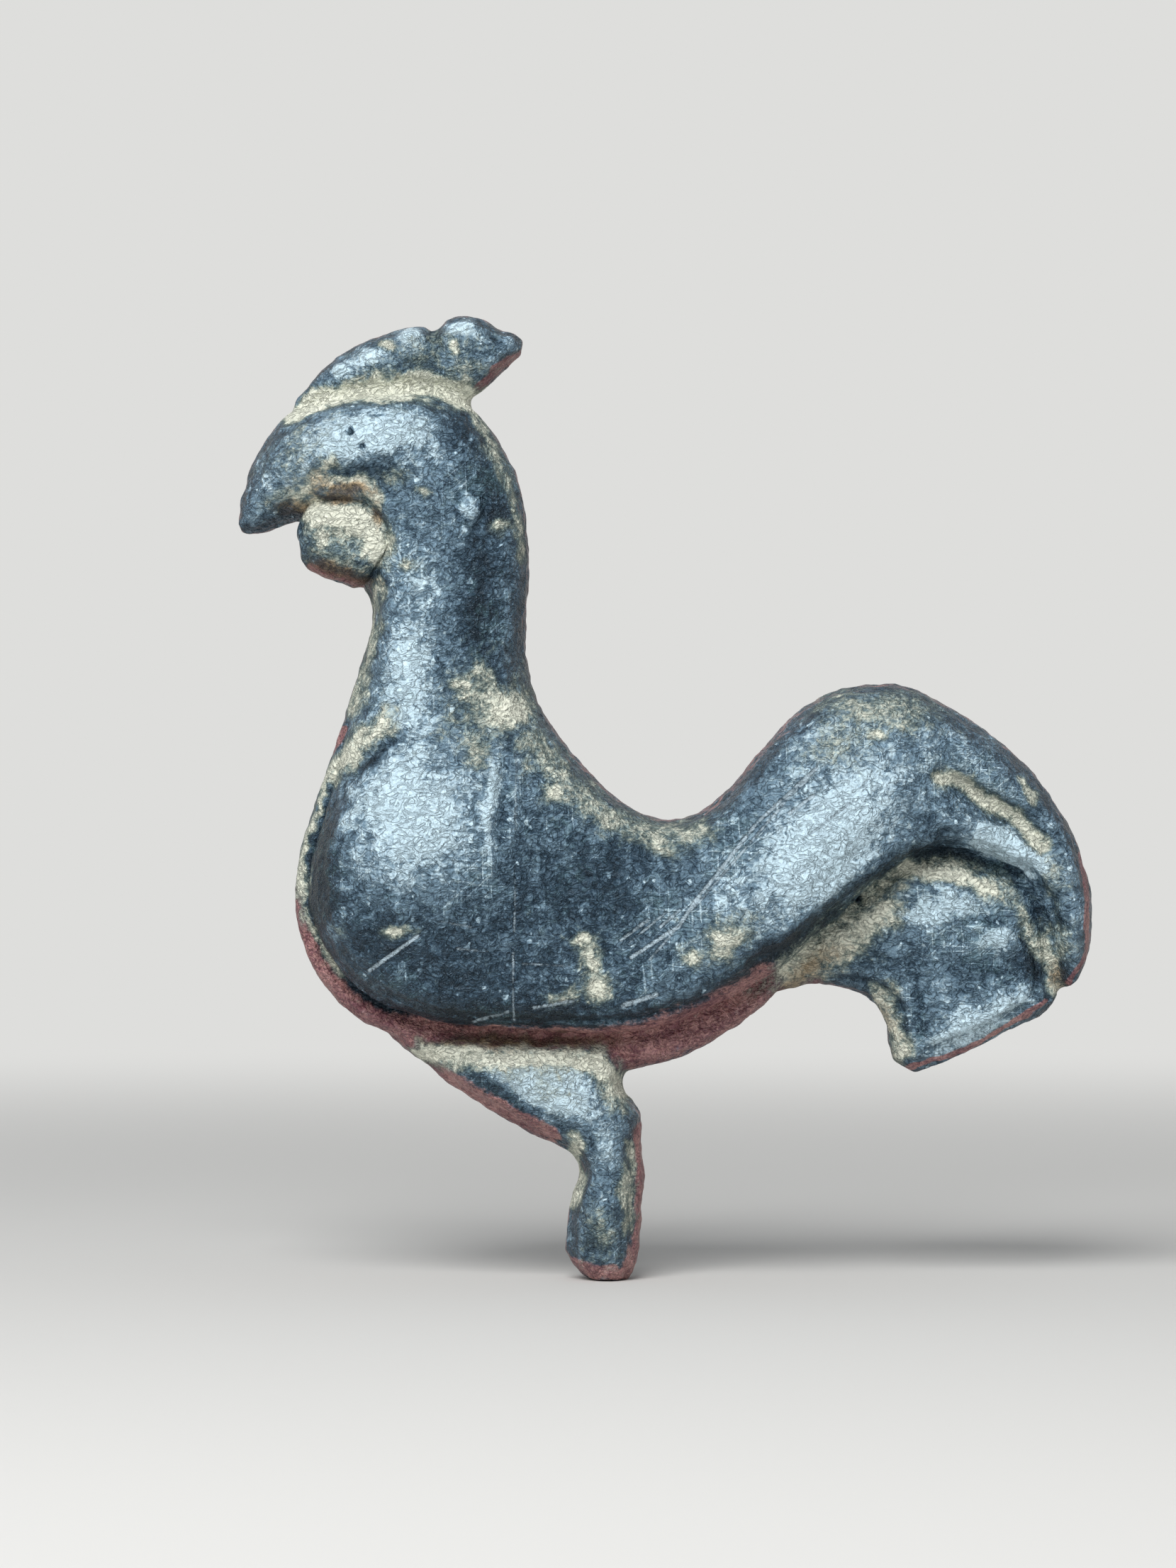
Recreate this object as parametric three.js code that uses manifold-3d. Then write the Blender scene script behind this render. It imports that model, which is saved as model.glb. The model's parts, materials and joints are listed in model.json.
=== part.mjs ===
// A small bronze rooster figurine that faces -X and stands on the stub of its one leg.
// Two mirrored half castings meet on the seam plane y = 0. They hold the tongues of the comb, the leg
// and the lower tail feather between them, and a wattle hangs on a peg at each side of the throat.
// Units are millimetres, +Z is up, and the origin is on the shank's axis at the end of the leg stub.
import * as THREE from "three";
import { mergeVertices } from "three/addons/utils/BufferGeometryUtils.js";
import Module from "manifold-3d";

const wasm = await Module();
wasm.setup();

// Main sizes
const LENGTH = 39.7; // from the beak to the outer tail feather
const HEIGHT = 45; // from the leg end to the top of the comb
const FLANK_DEPTH = 5; // how far a flank stands out of the seam plane, less the swell of the breast

// Clearances
const SEAM_GAP = 0.15; // between the two half castings
const SEAT_GAP = 0.15; // between a seated piece and the casting that carries it

// Edges: a flank rises from the seam plane to a low rim, and from the rim over a round to its face
const RIM_WIDTH = 1; // of a rim that a station gives as 1
const RIM_ROUND = 0.5;
const BODY_RIM_HEIGHT = 1.6;
const BODY_ROUND = 1.7;
const TAIL_RIM_HEIGHT = 1.1;
const TAIL_ROUND = 0.5;
const LEG_RIM_HEIGHT = 1.0;
const LEG_ROUND = 0.8;
const COMB_ROUND = 0.8;
const WATTLE_ROUND = 0.9;

// Tongues and pegs
const TONGUE_THICKNESS = 1.2;
const PEG_THICKNESS = 0.8;
const WATTLE_GAP = 0.5; // between the two wattles

// Each station is one section across a piece: where it meets the front edge and the back edge of the
// outline, how far the face stands out of the middle plane, how broad the rim is on the front edge and
// on the back edge, and where the crest lies between the edges (0 at the front, 1 at the back).
// The forms are drawn in proportion to each other, and stretched to the main sizes and the rim's width.
const station = (front, back, depth, frontRim = 0, backRim = 0, crest = 0.5) => ({
  front,
  back,
  depth,
  frontRim,
  backRim,
  crest,
});

const BODY = {
  stations: [
    station([-16.8, 34.8], [-17.0, 35.3], 0.9), // beak tip
    station([-15.7, 34.8], [-16.5, 37.5], 1.9),
    station([-14.1, 35.3], [-15.0, 40.1], 2.5), // gape
    station([-12.6, 34.5], [-11.9, 41.5], 2.9),
    station([-11.6, 33.1], [-8.6, 41.6], 3.1, 0.1), // crown, above the wattles
    station([-10.8, 31.6], [-6.1, 40.7], 3.2, 0.2),
    station([-10.8, 30.3], [-4.5, 38.5], 3.2, 0.3), // nape
    station([-11.2, 28.8], [-3.5, 35.4], 3.2, 0.3, 0, 0.45),
    station([-11.8, 26.8], [-3.5, 31.6], 3.3, 0.4, 0, 0.42),
    station([-12.6, 24.5], [-3.4, 28.0], 3.6, 0.6, 0, 0.42),
    station([-13.6, 21.6], [-2.0, 25.3], 4.1, 0.8, 0.2), // breast
    station([-14.4, 18.2], [-0.3, 23.3], 4.6, 0.8, 0.3, 0.45),
    station([-13.8, 15.1], [1.2, 22.1], 4.9, 1.0, 0.3, 0.5),
    station([-11.1, 11.9], [2.5, 21.5], 5.0, 1.4, 0.3), // belly
    station([-4.6, 10.3], [3.8, 21.5], 5.0, 1.7, 0.3),
    station([1.2, 9.75], [5.2, 22.2], 4.9, 2.0, 0.3, 0.45),
    station([5.2, 11.1], [6.5, 23.6], 4.8, 1.8, 0.3, 0.42),
    station([8.6, 13.8], [8.0, 25.4], 4.6, 1.0, 0.2, 0.38), // root of the tail
    station([11.2, 16.7], [10.3, 27.2], 4.2, 0.4, 0.1, 0.36),
    station([13.8, 18.7], [13.4, 27.8], 3.6, 0.3, 0, 0.4), // top of the tail
    station([16.5, 19.4], [16.4, 26.6], 3.1, 0.3, 0, 0.45),
    station([18.8, 18.7], [19.2, 24.5], 2.8, 0.3),
    station([20.1, 17.1], [21.4, 21.9], 2.6, 0.2),
    station([20.8, 15.3], [22.7, 18.7], 2.4, 0.2),
    station([21.3, 13.9], [22.7, 15.5], 1.8),
    station([21.6, 13.6], [22.2, 14.1], 1.1), // tip of the outer feather
  ],
  rim: { height: BODY_RIM_HEIGHT, back: false },
  round: BODY_ROUND,
  middleSteps: 6,
  perSpan: 3,
  // Swellings and hollows of the flank: middle, half lengths along and across, turn in degrees, height
  swellings: [
    { middle: [-8.8, 20.0], half: [4.2, 4.6], turn: 0, height: 1.6 }, // breast
    { middle: [-1.8, 16.4], half: [6.8, 5.0], turn: 0, height: -0.9 }, // flat of the flank
    { middle: [-9.1, 31.5], half: [1.6, 6.5], turn: 0, height: 0.4 }, // front of the neck
    { middle: [-4.8, 33.5], half: [1.2, 5.5], turn: 5, height: -0.4 }, // hollow down the back of the neck
    { middle: [-11.4, 38.9], half: [4.2, 1.5], turn: 22, height: 1.1 }, // brow
    { middle: [-12.0, 34.8], half: [2.1, 1.4], turn: 0, height: -1.8 }, // throat
    { middle: [8.8, 18.9], half: [6.0, 1.8], turn: 40, height: 1.2 }, // tail sweep
    { middle: [17.9, 22.1], half: [3.0, 0.7], turn: -30, height: -0.8 }, // feather groove
    { middle: [18.4, 20.1], half: [2.6, 0.8], turn: -24, height: 0.35 }, // middle tail feather
  ],
};

const COMB = {
  stations: [
    station([-14.5, 40.2], [-14.3, 41.0], 0.5), // front end, above the beak
    station([-13.2, 40.6], [-12.9, 42.6], 1.1),
    station([-11.9, 40.8], [-11.8, 43.4], 1.5),
    station([-10.6, 40.9], [-10.4, 44.0], 1.8),
    station([-9.4, 41.0], [-9.1, 44.4], 1.8), // front lobe
    station([-8.4, 41.0], [-8.3, 44.4], 1.6),
    station([-7.8, 41.0], [-7.8, 44.1], 1.4), // notch
    station([-7.3, 41.0], [-7.3, 44.8], 1.7),
    station([-6.5, 40.8], [-6.4, 45.0], 1.9), // rear lobe
    station([-5.9, 41.2], [-5.4, 44.7], 1.8),
    station([-5.1, 41.9], [-4.8, 44.3], 1.6),
    station([-4.5, 42.55], [-4.2, 44.15], 1.4),
    station([-3.85, 43.1], [-3.7, 43.75], 0.9), // rear tip
  ],
  round: COMB_ROUND,
  middleSteps: 4,
  perSpan: 2,
};

const WATTLE = {
  stations: [
    station([-13.9, 33.5], [-14.0, 35.0], 0.6),
    station([-13.3, 33.0], [-13.4, 35.9], 1.1),
    station([-12.3, 32.6], [-12.1, 36.4], 1.3),
    station([-11.1, 32.5], [-10.8, 36.4], 1.3),
    station([-10.1, 33.0], [-9.9, 35.6], 1.1),
    station([-9.6, 33.9], [-9.5, 34.8], 0.6),
  ],
  round: WATTLE_ROUND,
  middleSteps: 3,
  perSpan: 2,
};

const LEG = {
  stations: [
    station([-10.2, 11.55], [1.4, 11.2], 1.4), // inside the belly band
    station([-9.4, 10.9], [1.3, 10.6], 2.4, 0.4),
    station([-8.4, 10.15], [1.2, 9.9], 2.8, 0.6),
    station([-6.9, 8.9], [0.9, 9.1], 2.8, 0.6), // thigh
    station([-4.9, 7.7], [1.4, 8.3], 2.7, 0.6),
    station([-3.3, 6.8], [1.8, 7.7], 2.5, 0.5), // hock
    station([-1.7, 6.1], [1.8, 6.8], 2.3, 0.3, 0.3),
    station([-1.1, 5.4], [1.85, 5.8], 2.1, 0.2, 0.5),
    station([-1.2, 4.5], [1.95, 4.8], 2.0, 0.2, 0.5),
    station([-1.5, 3.6], [1.8, 3.6], 2.0, 0.2, 0.5), // shank
    station([-1.6, 2.4], [1.8, 2.4], 2.0, 0.2, 0.5),
    station([-1.75, 1.4], [1.75, 1.3], 1.9, 0.3, 0.5),
    station([-1.2, 0.45], [1.45, 0.4], 1.7, 0.2, 0.3),
    station([-0.5, -0.2], [1.0, -0.2], 1.2), // below the flat end
  ],
  rim: { height: LEG_RIM_HEIGHT, back: true },
  round: LEG_ROUND,
  middleSteps: 3,
  perSpan: 2,
};

const TAIL = {
  stations: [
    station([8.4, 13.4], [9.9, 16.5], 1.6, 0.3, 0), // root, below the crease
    station([9.9, 13.8], [12.1, 18.7], 1.9, 0.4, 0),
    station([11.4, 13.6], [14.6, 20.2], 2.0, 0.6, 0),
    station([12.6, 13.0], [17.6, 20.5], 2.1, 0.8, 0.8),
    station([13.2, 12.1], [20.3, 19.2], 2.1, 0.9, 1.2),
    station([13.3, 11.3], [21.2, 16.6], 2.1, 0.9, 1.0),
    station([13.4, 10.6], [21.2, 14.4], 2.0, 0.8, 0.8),
    station([13.6, 10.1], [21.2, 13.2], 1.8, 0.6, 0.6),
    station([14.6, 9.6], [20.6, 12.4], 0.9), // bottom edge
  ],
  // Ripples of the feather
  swellings: [
    { middle: [15.6, 17.6], half: [2.2, 0.8], turn: 8, height: 0.3 },
    { middle: [18.3, 15.9], half: [1.1, 0.6], turn: 10, height: 0.25 },
    { middle: [17.2, 14.4], half: [2.4, 0.6], turn: 0, height: -0.25 },
    { middle: [18.4, 12.8], half: [2.2, 0.8], turn: 30, height: 0.25 },
  ],
  rim: { height: TAIL_RIM_HEIGHT, back: true },
  round: TAIL_ROUND,
  middleSteps: 4,
  perSpan: 2,
};

// The tongues and the pegs, as outlines on the seam plane
const COMB_TONGUE = [
  [-13.1, 42.2],
  [-6.9, 42.4],
  [-6.8, 40.1],
  [-9.6, 40.0],
  [-12.4, 39.9],
];
const LEG_TONGUE = [
  [-8.3, 10.4],
  [-8.0, 12.6],
  [0.2, 12.4],
  [0.3, 9.1],
];
const TAIL_TONGUE = [
  [9.4, 14.2],
  [11.6, 15.7],
  [13.6, 17.0],
  [15.9, 17.8],
  [18.2, 17.5],
  [19.2, 16.3],
  [20.0, 14.4],
  [20.9, 16.6],
  [20.2, 18.7],
  [18.7, 20.0],
  [16.5, 20.5],
  [14.2, 20.0],
  [11.9, 18.7],
  [9.9, 16.7],
];
const WATTLE_PEG = [
  [-12.9, 33.6],
  [-12.9, 34.8],
  [-9.4, 35.4],
  [-9.4, 34.3],
];

// How far the drawn forms are stretched along each axis
const bodyPoints = BODY.stations.flatMap(({ front, back }) => [front, back]);
const drawnLength = Math.max(...bodyPoints.map(([x]) => x)) - Math.min(...bodyPoints.map(([x]) => x));
const drawnHeight = Math.max(...COMB.stations.map(({ back }) => back[1]));
const deepest = ({ stations }) => Math.max(...stations.map(({ depth }) => depth));
const stretch = new THREE.Vector3(LENGTH / drawnLength, FLANK_DEPTH / deepest(BODY), HEIGHT / drawnHeight);

const RIM_STEPS = 2; // faces across the round of a rim
const ROUND_STEPS = 4; // faces across the round of a face
const FACE_FALL = 0.3; // share of its depth that a face loses from its crest to its edges
const LEAST_RIM = 0.06; // a rim this narrow is lost in the round
const FULL_RIM = 0.4; // from this width a rim has its whole height
const RIM_ROUND_SHARE = 0.6; // most of a rim's width that its round takes
const EDGE_SHARE = 0.45; // most of a section's width that the rim and round of one edge take
const CURVE_TENSION = 0.3; // of the run of the stations' numbers
const SHARPEST_CORNER = 0.5; // cosine that limits how far the corner of a grown outline reaches

// The smooth curve through the points of one edge.
const edgeCurve = (points) =>
  new THREE.CatmullRomCurve3(
    points.map(([x, z]) => new THREE.Vector3(x, 0, z).multiply(stretch)),
    false,
    "centripetal",
  );

// The smooth run of three of the stations' numbers.
const numberCurve = (rows) => {
  const points = rows.map((row) => new THREE.Vector3(...row));
  return new THREE.CatmullRomCurve3(points, false, "catmullrom", CURVE_TENSION);
};

// How far the swellings raise the flank at a point.
function swellingAt(swellings, x, z) {
  let raised = 0;
  for (const { middle, half, turn, height } of swellings) {
    const angle = THREE.MathUtils.degToRad(turn);
    const dx = x / stretch.x - middle[0];
    const dz = z / stretch.z - middle[1];
    const along = (dx * Math.cos(angle) + dz * Math.sin(angle)) / half[0];
    const across = (dz * Math.cos(angle) - dx * Math.sin(angle)) / half[1];
    raised += height * Math.exp(-(along ** 2) - across ** 2);
  }
  return raised * stretch.y;
}

// The steps of a section from one edge inwards: how far in each lies, the height that the rim gives it,
// and the share of the rest of the face's height that it has.
function edgeSteps(rimWidth, rimHeight, round, limit) {
  const rimmed = rimHeight > 0;
  const rim = rimmed ? Math.max(rimWidth, LEAST_RIM) : 0;
  const shrink = Math.min(1, limit / (rim + round));
  const low = rimHeight * Math.min(1, rim / FULL_RIM);
  const steps = [{ distance: 0, low: 0, share: 0 }];
  if (rimmed) {
    const rimRound = Math.min(RIM_ROUND, RIM_ROUND_SHARE * rim);
    for (let i = 1; i <= RIM_STEPS; i++) {
      const angle = (Math.PI / 2) * (i / RIM_STEPS);
      steps.push({ distance: rimRound * (1 - Math.cos(angle)), low: low * Math.sin(angle), share: 0 });
    }
    steps.push({ distance: rim, low, share: 0 });
  }
  for (let i = 1; i <= ROUND_STEPS; i++) {
    const angle = (Math.PI / 2) * (i / ROUND_STEPS);
    steps.push({ distance: rim + round * (1 - Math.cos(angle)), low, share: Math.sin(angle) });
  }
  return steps.map((step) => ({ ...step, distance: step.distance * shrink }));
}

// One section across a piece: the share of the way from the front to the back edge of each point, and
// its height above the middle plane.
function sectionSteps(piece, section, width, pointAt) {
  const { depth, crest, frontRim, backRim } = section;
  const { rim, round, middleSteps, swellings = [] } = piece;
  const limit = EDGE_SHARE * width;
  const front = edgeSteps(frontRim, rim ? rim.height : 0, round, limit);
  const back = edgeSteps(backRim, rim && rim.back ? rim.height : 0, round, limit);
  const from = front.at(-1).distance / width;
  const to = 1 - back.at(-1).distance / width;
  const steps = front.map((step) => ({ ...step, at: step.distance / width }));
  for (let i = 1; i < middleSteps; i++) {
    const at = THREE.MathUtils.lerp(from, to, i / middleSteps);
    const low = THREE.MathUtils.lerp(front.at(-1).low, back.at(-1).low, i / middleSteps);
    steps.push({ at, low, share: 1 });
  }
  steps.push(...back.reverse().map((step) => ({ ...step, at: 1 - step.distance / width })));
  return steps.map(({ at, low, share }) => {
    const offCrest = at < crest ? (crest - at) / crest : (at - crest) / (1 - crest);
    const point = pointAt(at);
    const face = depth * (1 - FACE_FALL * offCrest ** 2) + swellingAt(swellings, point.x, point.z);
    return { at, height: low + Math.max(face - low, 0) * share };
  });
}

// A solid lofted through the stations of a piece, alike on both sides of the middle plane.
// A grown copy stands out on all sides, to cut the clearance into what sits on the piece.
function loft(piece, grown = 0) {
  const { stations, perSpan } = piece;
  const front = edgeCurve(stations.map((s) => s.front));
  const back = edgeCurve(stations.map((s) => s.back));
  const depths = numberCurve(stations.map((s) => [s.depth * stretch.y, s.crest, 0]));
  const rims = numberCurve(stations.map((s) => [s.frontRim * RIM_WIDTH, s.backRim * RIM_WIDTH, 0]));
  const rows = (stations.length - 1) * perSpan;
  const rings = [];
  for (let row = 0; row <= rows; row++) {
    const t = row / rows;
    const outward = front.getPoint(t).sub(back.getPoint(t)).setLength(grown);
    const a = front.getPoint(t).add(outward);
    const b = back.getPoint(t).sub(outward);
    const pointAt = (share) => a.clone().lerp(b, share);
    const [depth, crest] = depths.getPoint(t).toArray();
    const [frontRim, backRim] = rims.getPoint(t).toArray();
    const steps = sectionSteps(piece, { depth, crest, frontRim, backRim }, a.distanceTo(b), pointAt);
    const near = steps.map(({ at, height }, i) => {
      const onEdge = i === 0 || i === steps.length - 1;
      return pointAt(at).setY(onEdge ? 0 : -height - grown);
    });
    const far = near.slice(1, -1).map((point) => point.clone().setY(-point.y));
    rings.push([...near, ...far.reverse()]);
  }
  return ringsGeometry(rings);
}

// A closed surface through rings of points, each ring alike on both sides of its first point.
function ringsGeometry(rings) {
  const ring = rings[0].length;
  const across = ring / 2;
  const faces = [];
  for (let start = 0; start < (rings.length - 1) * ring; start += ring) {
    for (let column = 0; column < ring; column++) {
      const p = start + column;
      const q = start + ((column + 1) % ring);
      faces.push(p, p + ring, q + ring, p, q + ring, q);
    }
  }
  for (const [start, turned] of [[0, false], [(rings.length - 1) * ring, true]]) {
    for (let column = 0; column < across; column++) {
      const corners = [column, column + 1, ring - column - 1, (ring - column) % ring].map((c) => start + c);
      const [p, q, r, s] = turned ? corners.reverse() : corners;
      if (q !== r) faces.push(p, q, r);
      if (p !== s && r !== s) faces.push(p, r, s);
    }
  }
  const positions = rings.flat().flatMap((point) => point.toArray());
  return new THREE.BufferGeometry()
    .setAttribute("position", new THREE.Float32BufferAttribute(positions, 3))
    .setIndex(faces);
}

// A drawn outline at its stretched size, moved outwards by a distance, corner by corner.
function grownOutline(outline, distance) {
  const points = outline.map(([x, z]) => new THREE.Vector2(x * stretch.x, z * stretch.z));
  const turn = THREE.ShapeUtils.isClockWise(points) ? -1 : 1;
  return points.map((point, i) => {
    const before = points.at(i - 1);
    const after = points[(i + 1) % points.length];
    const into = point.clone().sub(before).normalize();
    const out = after.clone().sub(point).normalize();
    const normal = new THREE.Vector2(into.y + out.y, -into.x - out.x).normalize();
    const corner = normal.dot(new THREE.Vector2(out.y, -out.x));
    const reach = (turn * distance) / Math.max(corner, SHARPEST_CORNER);
    return point.clone().addScaledVector(normal, reach);
  });
}

// A flat plate through the points of an outline, lying across the seam plane or beside it.
// A grown plate cuts the slot that the plate sits in.
function plate(outline, thickness, middleY = 0, grown = 0) {
  const shape = new THREE.Shape(grownOutline(outline, grown));
  const depth = thickness + 2 * grown;
  const geometry = new THREE.ExtrudeGeometry(shape, { depth, bevelEnabled: false });
  return solid(geometry.rotateX(Math.PI / 2).translate(0, middleY + depth / 2, 0));
}

// A box between two corners.
function block(low, high) {
  const size = high.map((value, i) => value - low[i]);
  const middle = high.map((value, i) => (value + low[i]) / 2);
  return solid(new THREE.BoxGeometry(...size).translate(...middle));
}

// A closed geometry as a manifold solid.
function solid(geometry) {
  geometry.deleteAttribute("normal");
  geometry.deleteAttribute("uv");
  const merged = mergeVertices(geometry, 1e-4);
  return new wasm.Manifold(
    new wasm.Mesh({
      numProp: 3,
      vertProperties: merged.attributes.position.array,
      triVerts: new Uint32Array(merged.index.array),
    }),
  );
}

// A named mesh of a solid.
function piece(name, made, material) {
  const { vertProperties, triVerts } = made.getMesh();
  const geometry = new THREE.BufferGeometry()
    .setAttribute("position", new THREE.BufferAttribute(vertProperties, 3))
    .setIndex(new THREE.BufferAttribute(triVerts, 1));
  geometry.computeVertexNormals();
  const mesh = new THREE.Mesh(geometry, material);
  mesh.name = name;
  return mesh;
}

const finish = (color, roughness) =>
  new THREE.MeshStandardMaterial({ color, roughness, metalness: 0.6, flatShading: true });
const darkPatina = finish(0x2b2f36, 0.45);
const wornPatina = finish(0x4a3a38, 0.5);
const earthyPatina = finish(0x8a7560, 0.7);

const body = solid(loft(BODY));
const bodyWithClearance = solid(loft(BODY, SEAT_GAP));
const far = LENGTH + HEIGHT; // beyond every side of the figure

// The comb, the leg and the lower tail feather: each sits on the body and has its tongue in it.
const seated = [
  { name: "comb", form: COMB, tongue: COMB_TONGUE, material: wornPatina },
  { name: "leg", form: LEG, tongue: LEG_TONGUE, material: wornPatina },
  { name: "lower_tail_feather", form: TAIL, tongue: TAIL_TONGUE, material: darkPatina },
];
const underEnd = block([-far, -far, -far], [far, far, 0]);
const meshes = [];
let sockets = null;
for (const { name, form, tongue, material } of seated) {
  const made = solid(loft(form))
    .subtract(bodyWithClearance)
    .add(plate(tongue, TONGUE_THICKNESS))
    .subtract(underEnd);
  meshes.push(piece(name, made, material));
  const socket = plate(tongue, TONGUE_THICKNESS, 0, SEAT_GAP);
  sockets = sockets ? sockets.add(socket) : socket;
}

// The two halves of the body, and the wattle of each side on its peg.
const wattleY = deepest(WATTLE) * stretch.y + WATTLE_GAP / 2;
for (const [side, sign] of [["left", -1], ["right", 1]]) {
  const middleY = sign * wattleY;
  const hanging = solid(loft(WATTLE).translate(0, middleY, 0));
  const peg = plate(WATTLE_PEG, PEG_THICKNESS, middleY);
  const wattle = hanging.subtract(bodyWithClearance).add(peg);
  meshes.push(piece(`${side}_wattle`, wattle, earthyPatina));
  const inner = (sign * SEAM_GAP) / 2;
  const sideSpace = block([-far, Math.min(inner, sign * far), -far], [far, Math.max(inner, sign * far), far]);
  const half = body
    .intersect(sideSpace)
    .subtract(sockets)
    .subtract(plate(WATTLE_PEG, PEG_THICKNESS, middleY, SEAT_GAP));
  meshes.push(piece(`${side}_body_half`, half, darkPatina));
}

const rooster = new THREE.Group();
rooster.name = "rooster_figurine";
rooster.add(...meshes);
export default rooster;
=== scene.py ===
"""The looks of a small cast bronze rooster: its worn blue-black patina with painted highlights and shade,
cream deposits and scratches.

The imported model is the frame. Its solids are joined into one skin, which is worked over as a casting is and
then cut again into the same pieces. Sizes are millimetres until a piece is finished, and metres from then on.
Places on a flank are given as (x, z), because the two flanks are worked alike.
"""

import json
import math

import bmesh
import bpy
import numpy as np
from mathutils import Matrix, Vector, kdtree, noise


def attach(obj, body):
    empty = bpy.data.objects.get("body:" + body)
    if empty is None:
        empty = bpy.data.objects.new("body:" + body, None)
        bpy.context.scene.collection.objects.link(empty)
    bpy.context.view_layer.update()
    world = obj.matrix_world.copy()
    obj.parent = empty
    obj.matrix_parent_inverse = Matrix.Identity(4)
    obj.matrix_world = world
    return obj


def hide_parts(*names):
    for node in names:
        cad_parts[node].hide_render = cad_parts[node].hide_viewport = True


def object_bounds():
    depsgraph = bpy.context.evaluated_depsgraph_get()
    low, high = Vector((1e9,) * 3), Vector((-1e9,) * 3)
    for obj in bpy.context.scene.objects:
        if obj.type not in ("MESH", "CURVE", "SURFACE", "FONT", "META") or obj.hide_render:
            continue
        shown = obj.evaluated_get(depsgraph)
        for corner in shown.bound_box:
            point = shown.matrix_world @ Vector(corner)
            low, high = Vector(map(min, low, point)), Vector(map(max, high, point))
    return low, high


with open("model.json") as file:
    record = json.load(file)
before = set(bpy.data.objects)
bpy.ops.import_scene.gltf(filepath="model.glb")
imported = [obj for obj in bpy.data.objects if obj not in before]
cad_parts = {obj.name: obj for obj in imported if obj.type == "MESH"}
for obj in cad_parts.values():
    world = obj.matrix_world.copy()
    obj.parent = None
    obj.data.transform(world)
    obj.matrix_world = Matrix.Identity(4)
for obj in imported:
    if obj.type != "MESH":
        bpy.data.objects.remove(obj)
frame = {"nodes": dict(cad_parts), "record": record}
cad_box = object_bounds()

MM = 0.001
SAME_PLACE = 1e-6  # metres within which points are doubles

# Sizes of the skin
GROWTH = 0.1  # each solid grows by this, so that the clearances between them close
CORNER_GROWTH = 1.5  # a point at a corner moves at most this many times as far
VOXEL = 0.12
FACET_SMOOTHING = 10  # rounds that take the facets of the solids out
EDGE_SMOOTHING = 2  # rounds after the relief is in
SUNK_REACH = 6  # rounds that spread out what counts as a point's surroundings
SHARP_EDGE = 50  # degrees: the rims of the cuts between the pieces
BOX_ROOM = 0.02  # the skin keeps this far inside the frame's own box

# Sizes of the picture
PICTURE_HEIGHT = 73.2  # how high the whole picture is at the seam plane
CAMERA_DISTANCE = 250
AIM = Vector((-0.68, 0, 23.1))  # what is in the middle of the picture
SENSOR = 24

# Sizes of the floor
FLOOR_REACH = 650  # from the middle to where the floor starts to turn up
BEND = 250  # radius of the turn from floor to wall
BEND_STEPS = 10
WALL_TOP = 700
FLOOR_SIDES = 64
EVEN_FROM = (50, 220)  # how far out the backdrop starts to be even, and is fully so

# Light
LAMP_PLACE = Vector((-60, -200, 215))
LAMP_SIZE = 160
LAMP_RADIANCE = 9.8  # of its front
SKY = (0.9, 0.93, 0.97, 1)
SKY_STRENGTH = 0.5


# Meshes


def new_object(name, data):
    made = bpy.data.objects.new(name, data)
    bpy.context.scene.collection.objects.link(made)
    return made


def mesh_of(name, work):
    """The mesh of a bmesh, which is freed."""
    mesh = bpy.data.meshes.new(name)
    work.to_mesh(mesh)
    work.free()
    return mesh


def applied(made):
    """Leaves the object with the mesh that its modifiers give."""
    graph = bpy.context.evaluated_depsgraph_get()
    graph.update()
    finished = bpy.data.meshes.new_from_object(made.evaluated_get(graph))
    made.modifiers.clear()
    made.data = finished
    return made


def smoothed(made, rounds):
    smooth = made.modifiers.new("smooth", "SMOOTH")
    smooth.factor = 0.5
    smooth.iterations = rounds
    return applied(made)


def remeshed(made):
    """Leaves the object with one even skin, without the facets of the solids."""
    remesh = made.modifiers.new("remesh", "REMESH")
    remesh.mode = "VOXEL"
    remesh.voxel_size = VOXEL
    return smoothed(made, FACET_SMOOTHING)


def vectors(items, field):
    """One vector of each item of a mesh, as rows."""
    flat = np.empty(len(items) * 3)
    items.foreach_get(field, flat)
    return flat.reshape(-1, 3)


def surface_of(mesh):
    """The places of a mesh's points and the ways that they face, as rows."""
    return vectors(mesh.vertices, "co"), vectors(mesh.vertex_normals, "vector")


def set_points(mesh, points):
    mesh.vertices.foreach_set("co", points.ravel())
    mesh.update()


def step(values, low, high):
    """0 below low and 1 above high, smooth between them. With high below low it runs the other way."""
    share = np.clip((values - low) / (high - low), 0, 1)
    return share * share * (3 - 2 * share)


# Skin


def grown_copy(node, growth):
    """A node's solid in millimetres, with its doubles merged, grown on all sides."""
    copy = bmesh.new()
    copy.from_mesh(node.data)
    bmesh.ops.remove_doubles(copy, verts=copy.verts, dist=SAME_PLACE)
    bmesh.ops.scale(copy, verts=copy.verts, vec=(1 / MM, 1 / MM, 1 / MM))
    copy.normal_update()
    for vert in copy.verts:
        vert.co += vert.normal * growth * min(vert.calc_shell_factor(), CORNER_GROWTH)
    return mesh_of("grown", copy)


def skin_of(names):
    """One smooth skin around the grown solids of some nodes, drawn back to their size."""
    together = bmesh.new()
    for name in names:
        grown = grown_copy(frame["nodes"][name], GROWTH)
        together.from_mesh(grown)
        bpy.data.meshes.remove(grown)
    skin = remeshed(new_object("skin", mesh_of("skin", together)))
    points, outward = surface_of(skin.data)
    set_points(skin.data, points - outward * GROWTH)
    keep_largest(skin.data)
    return skin


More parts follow.
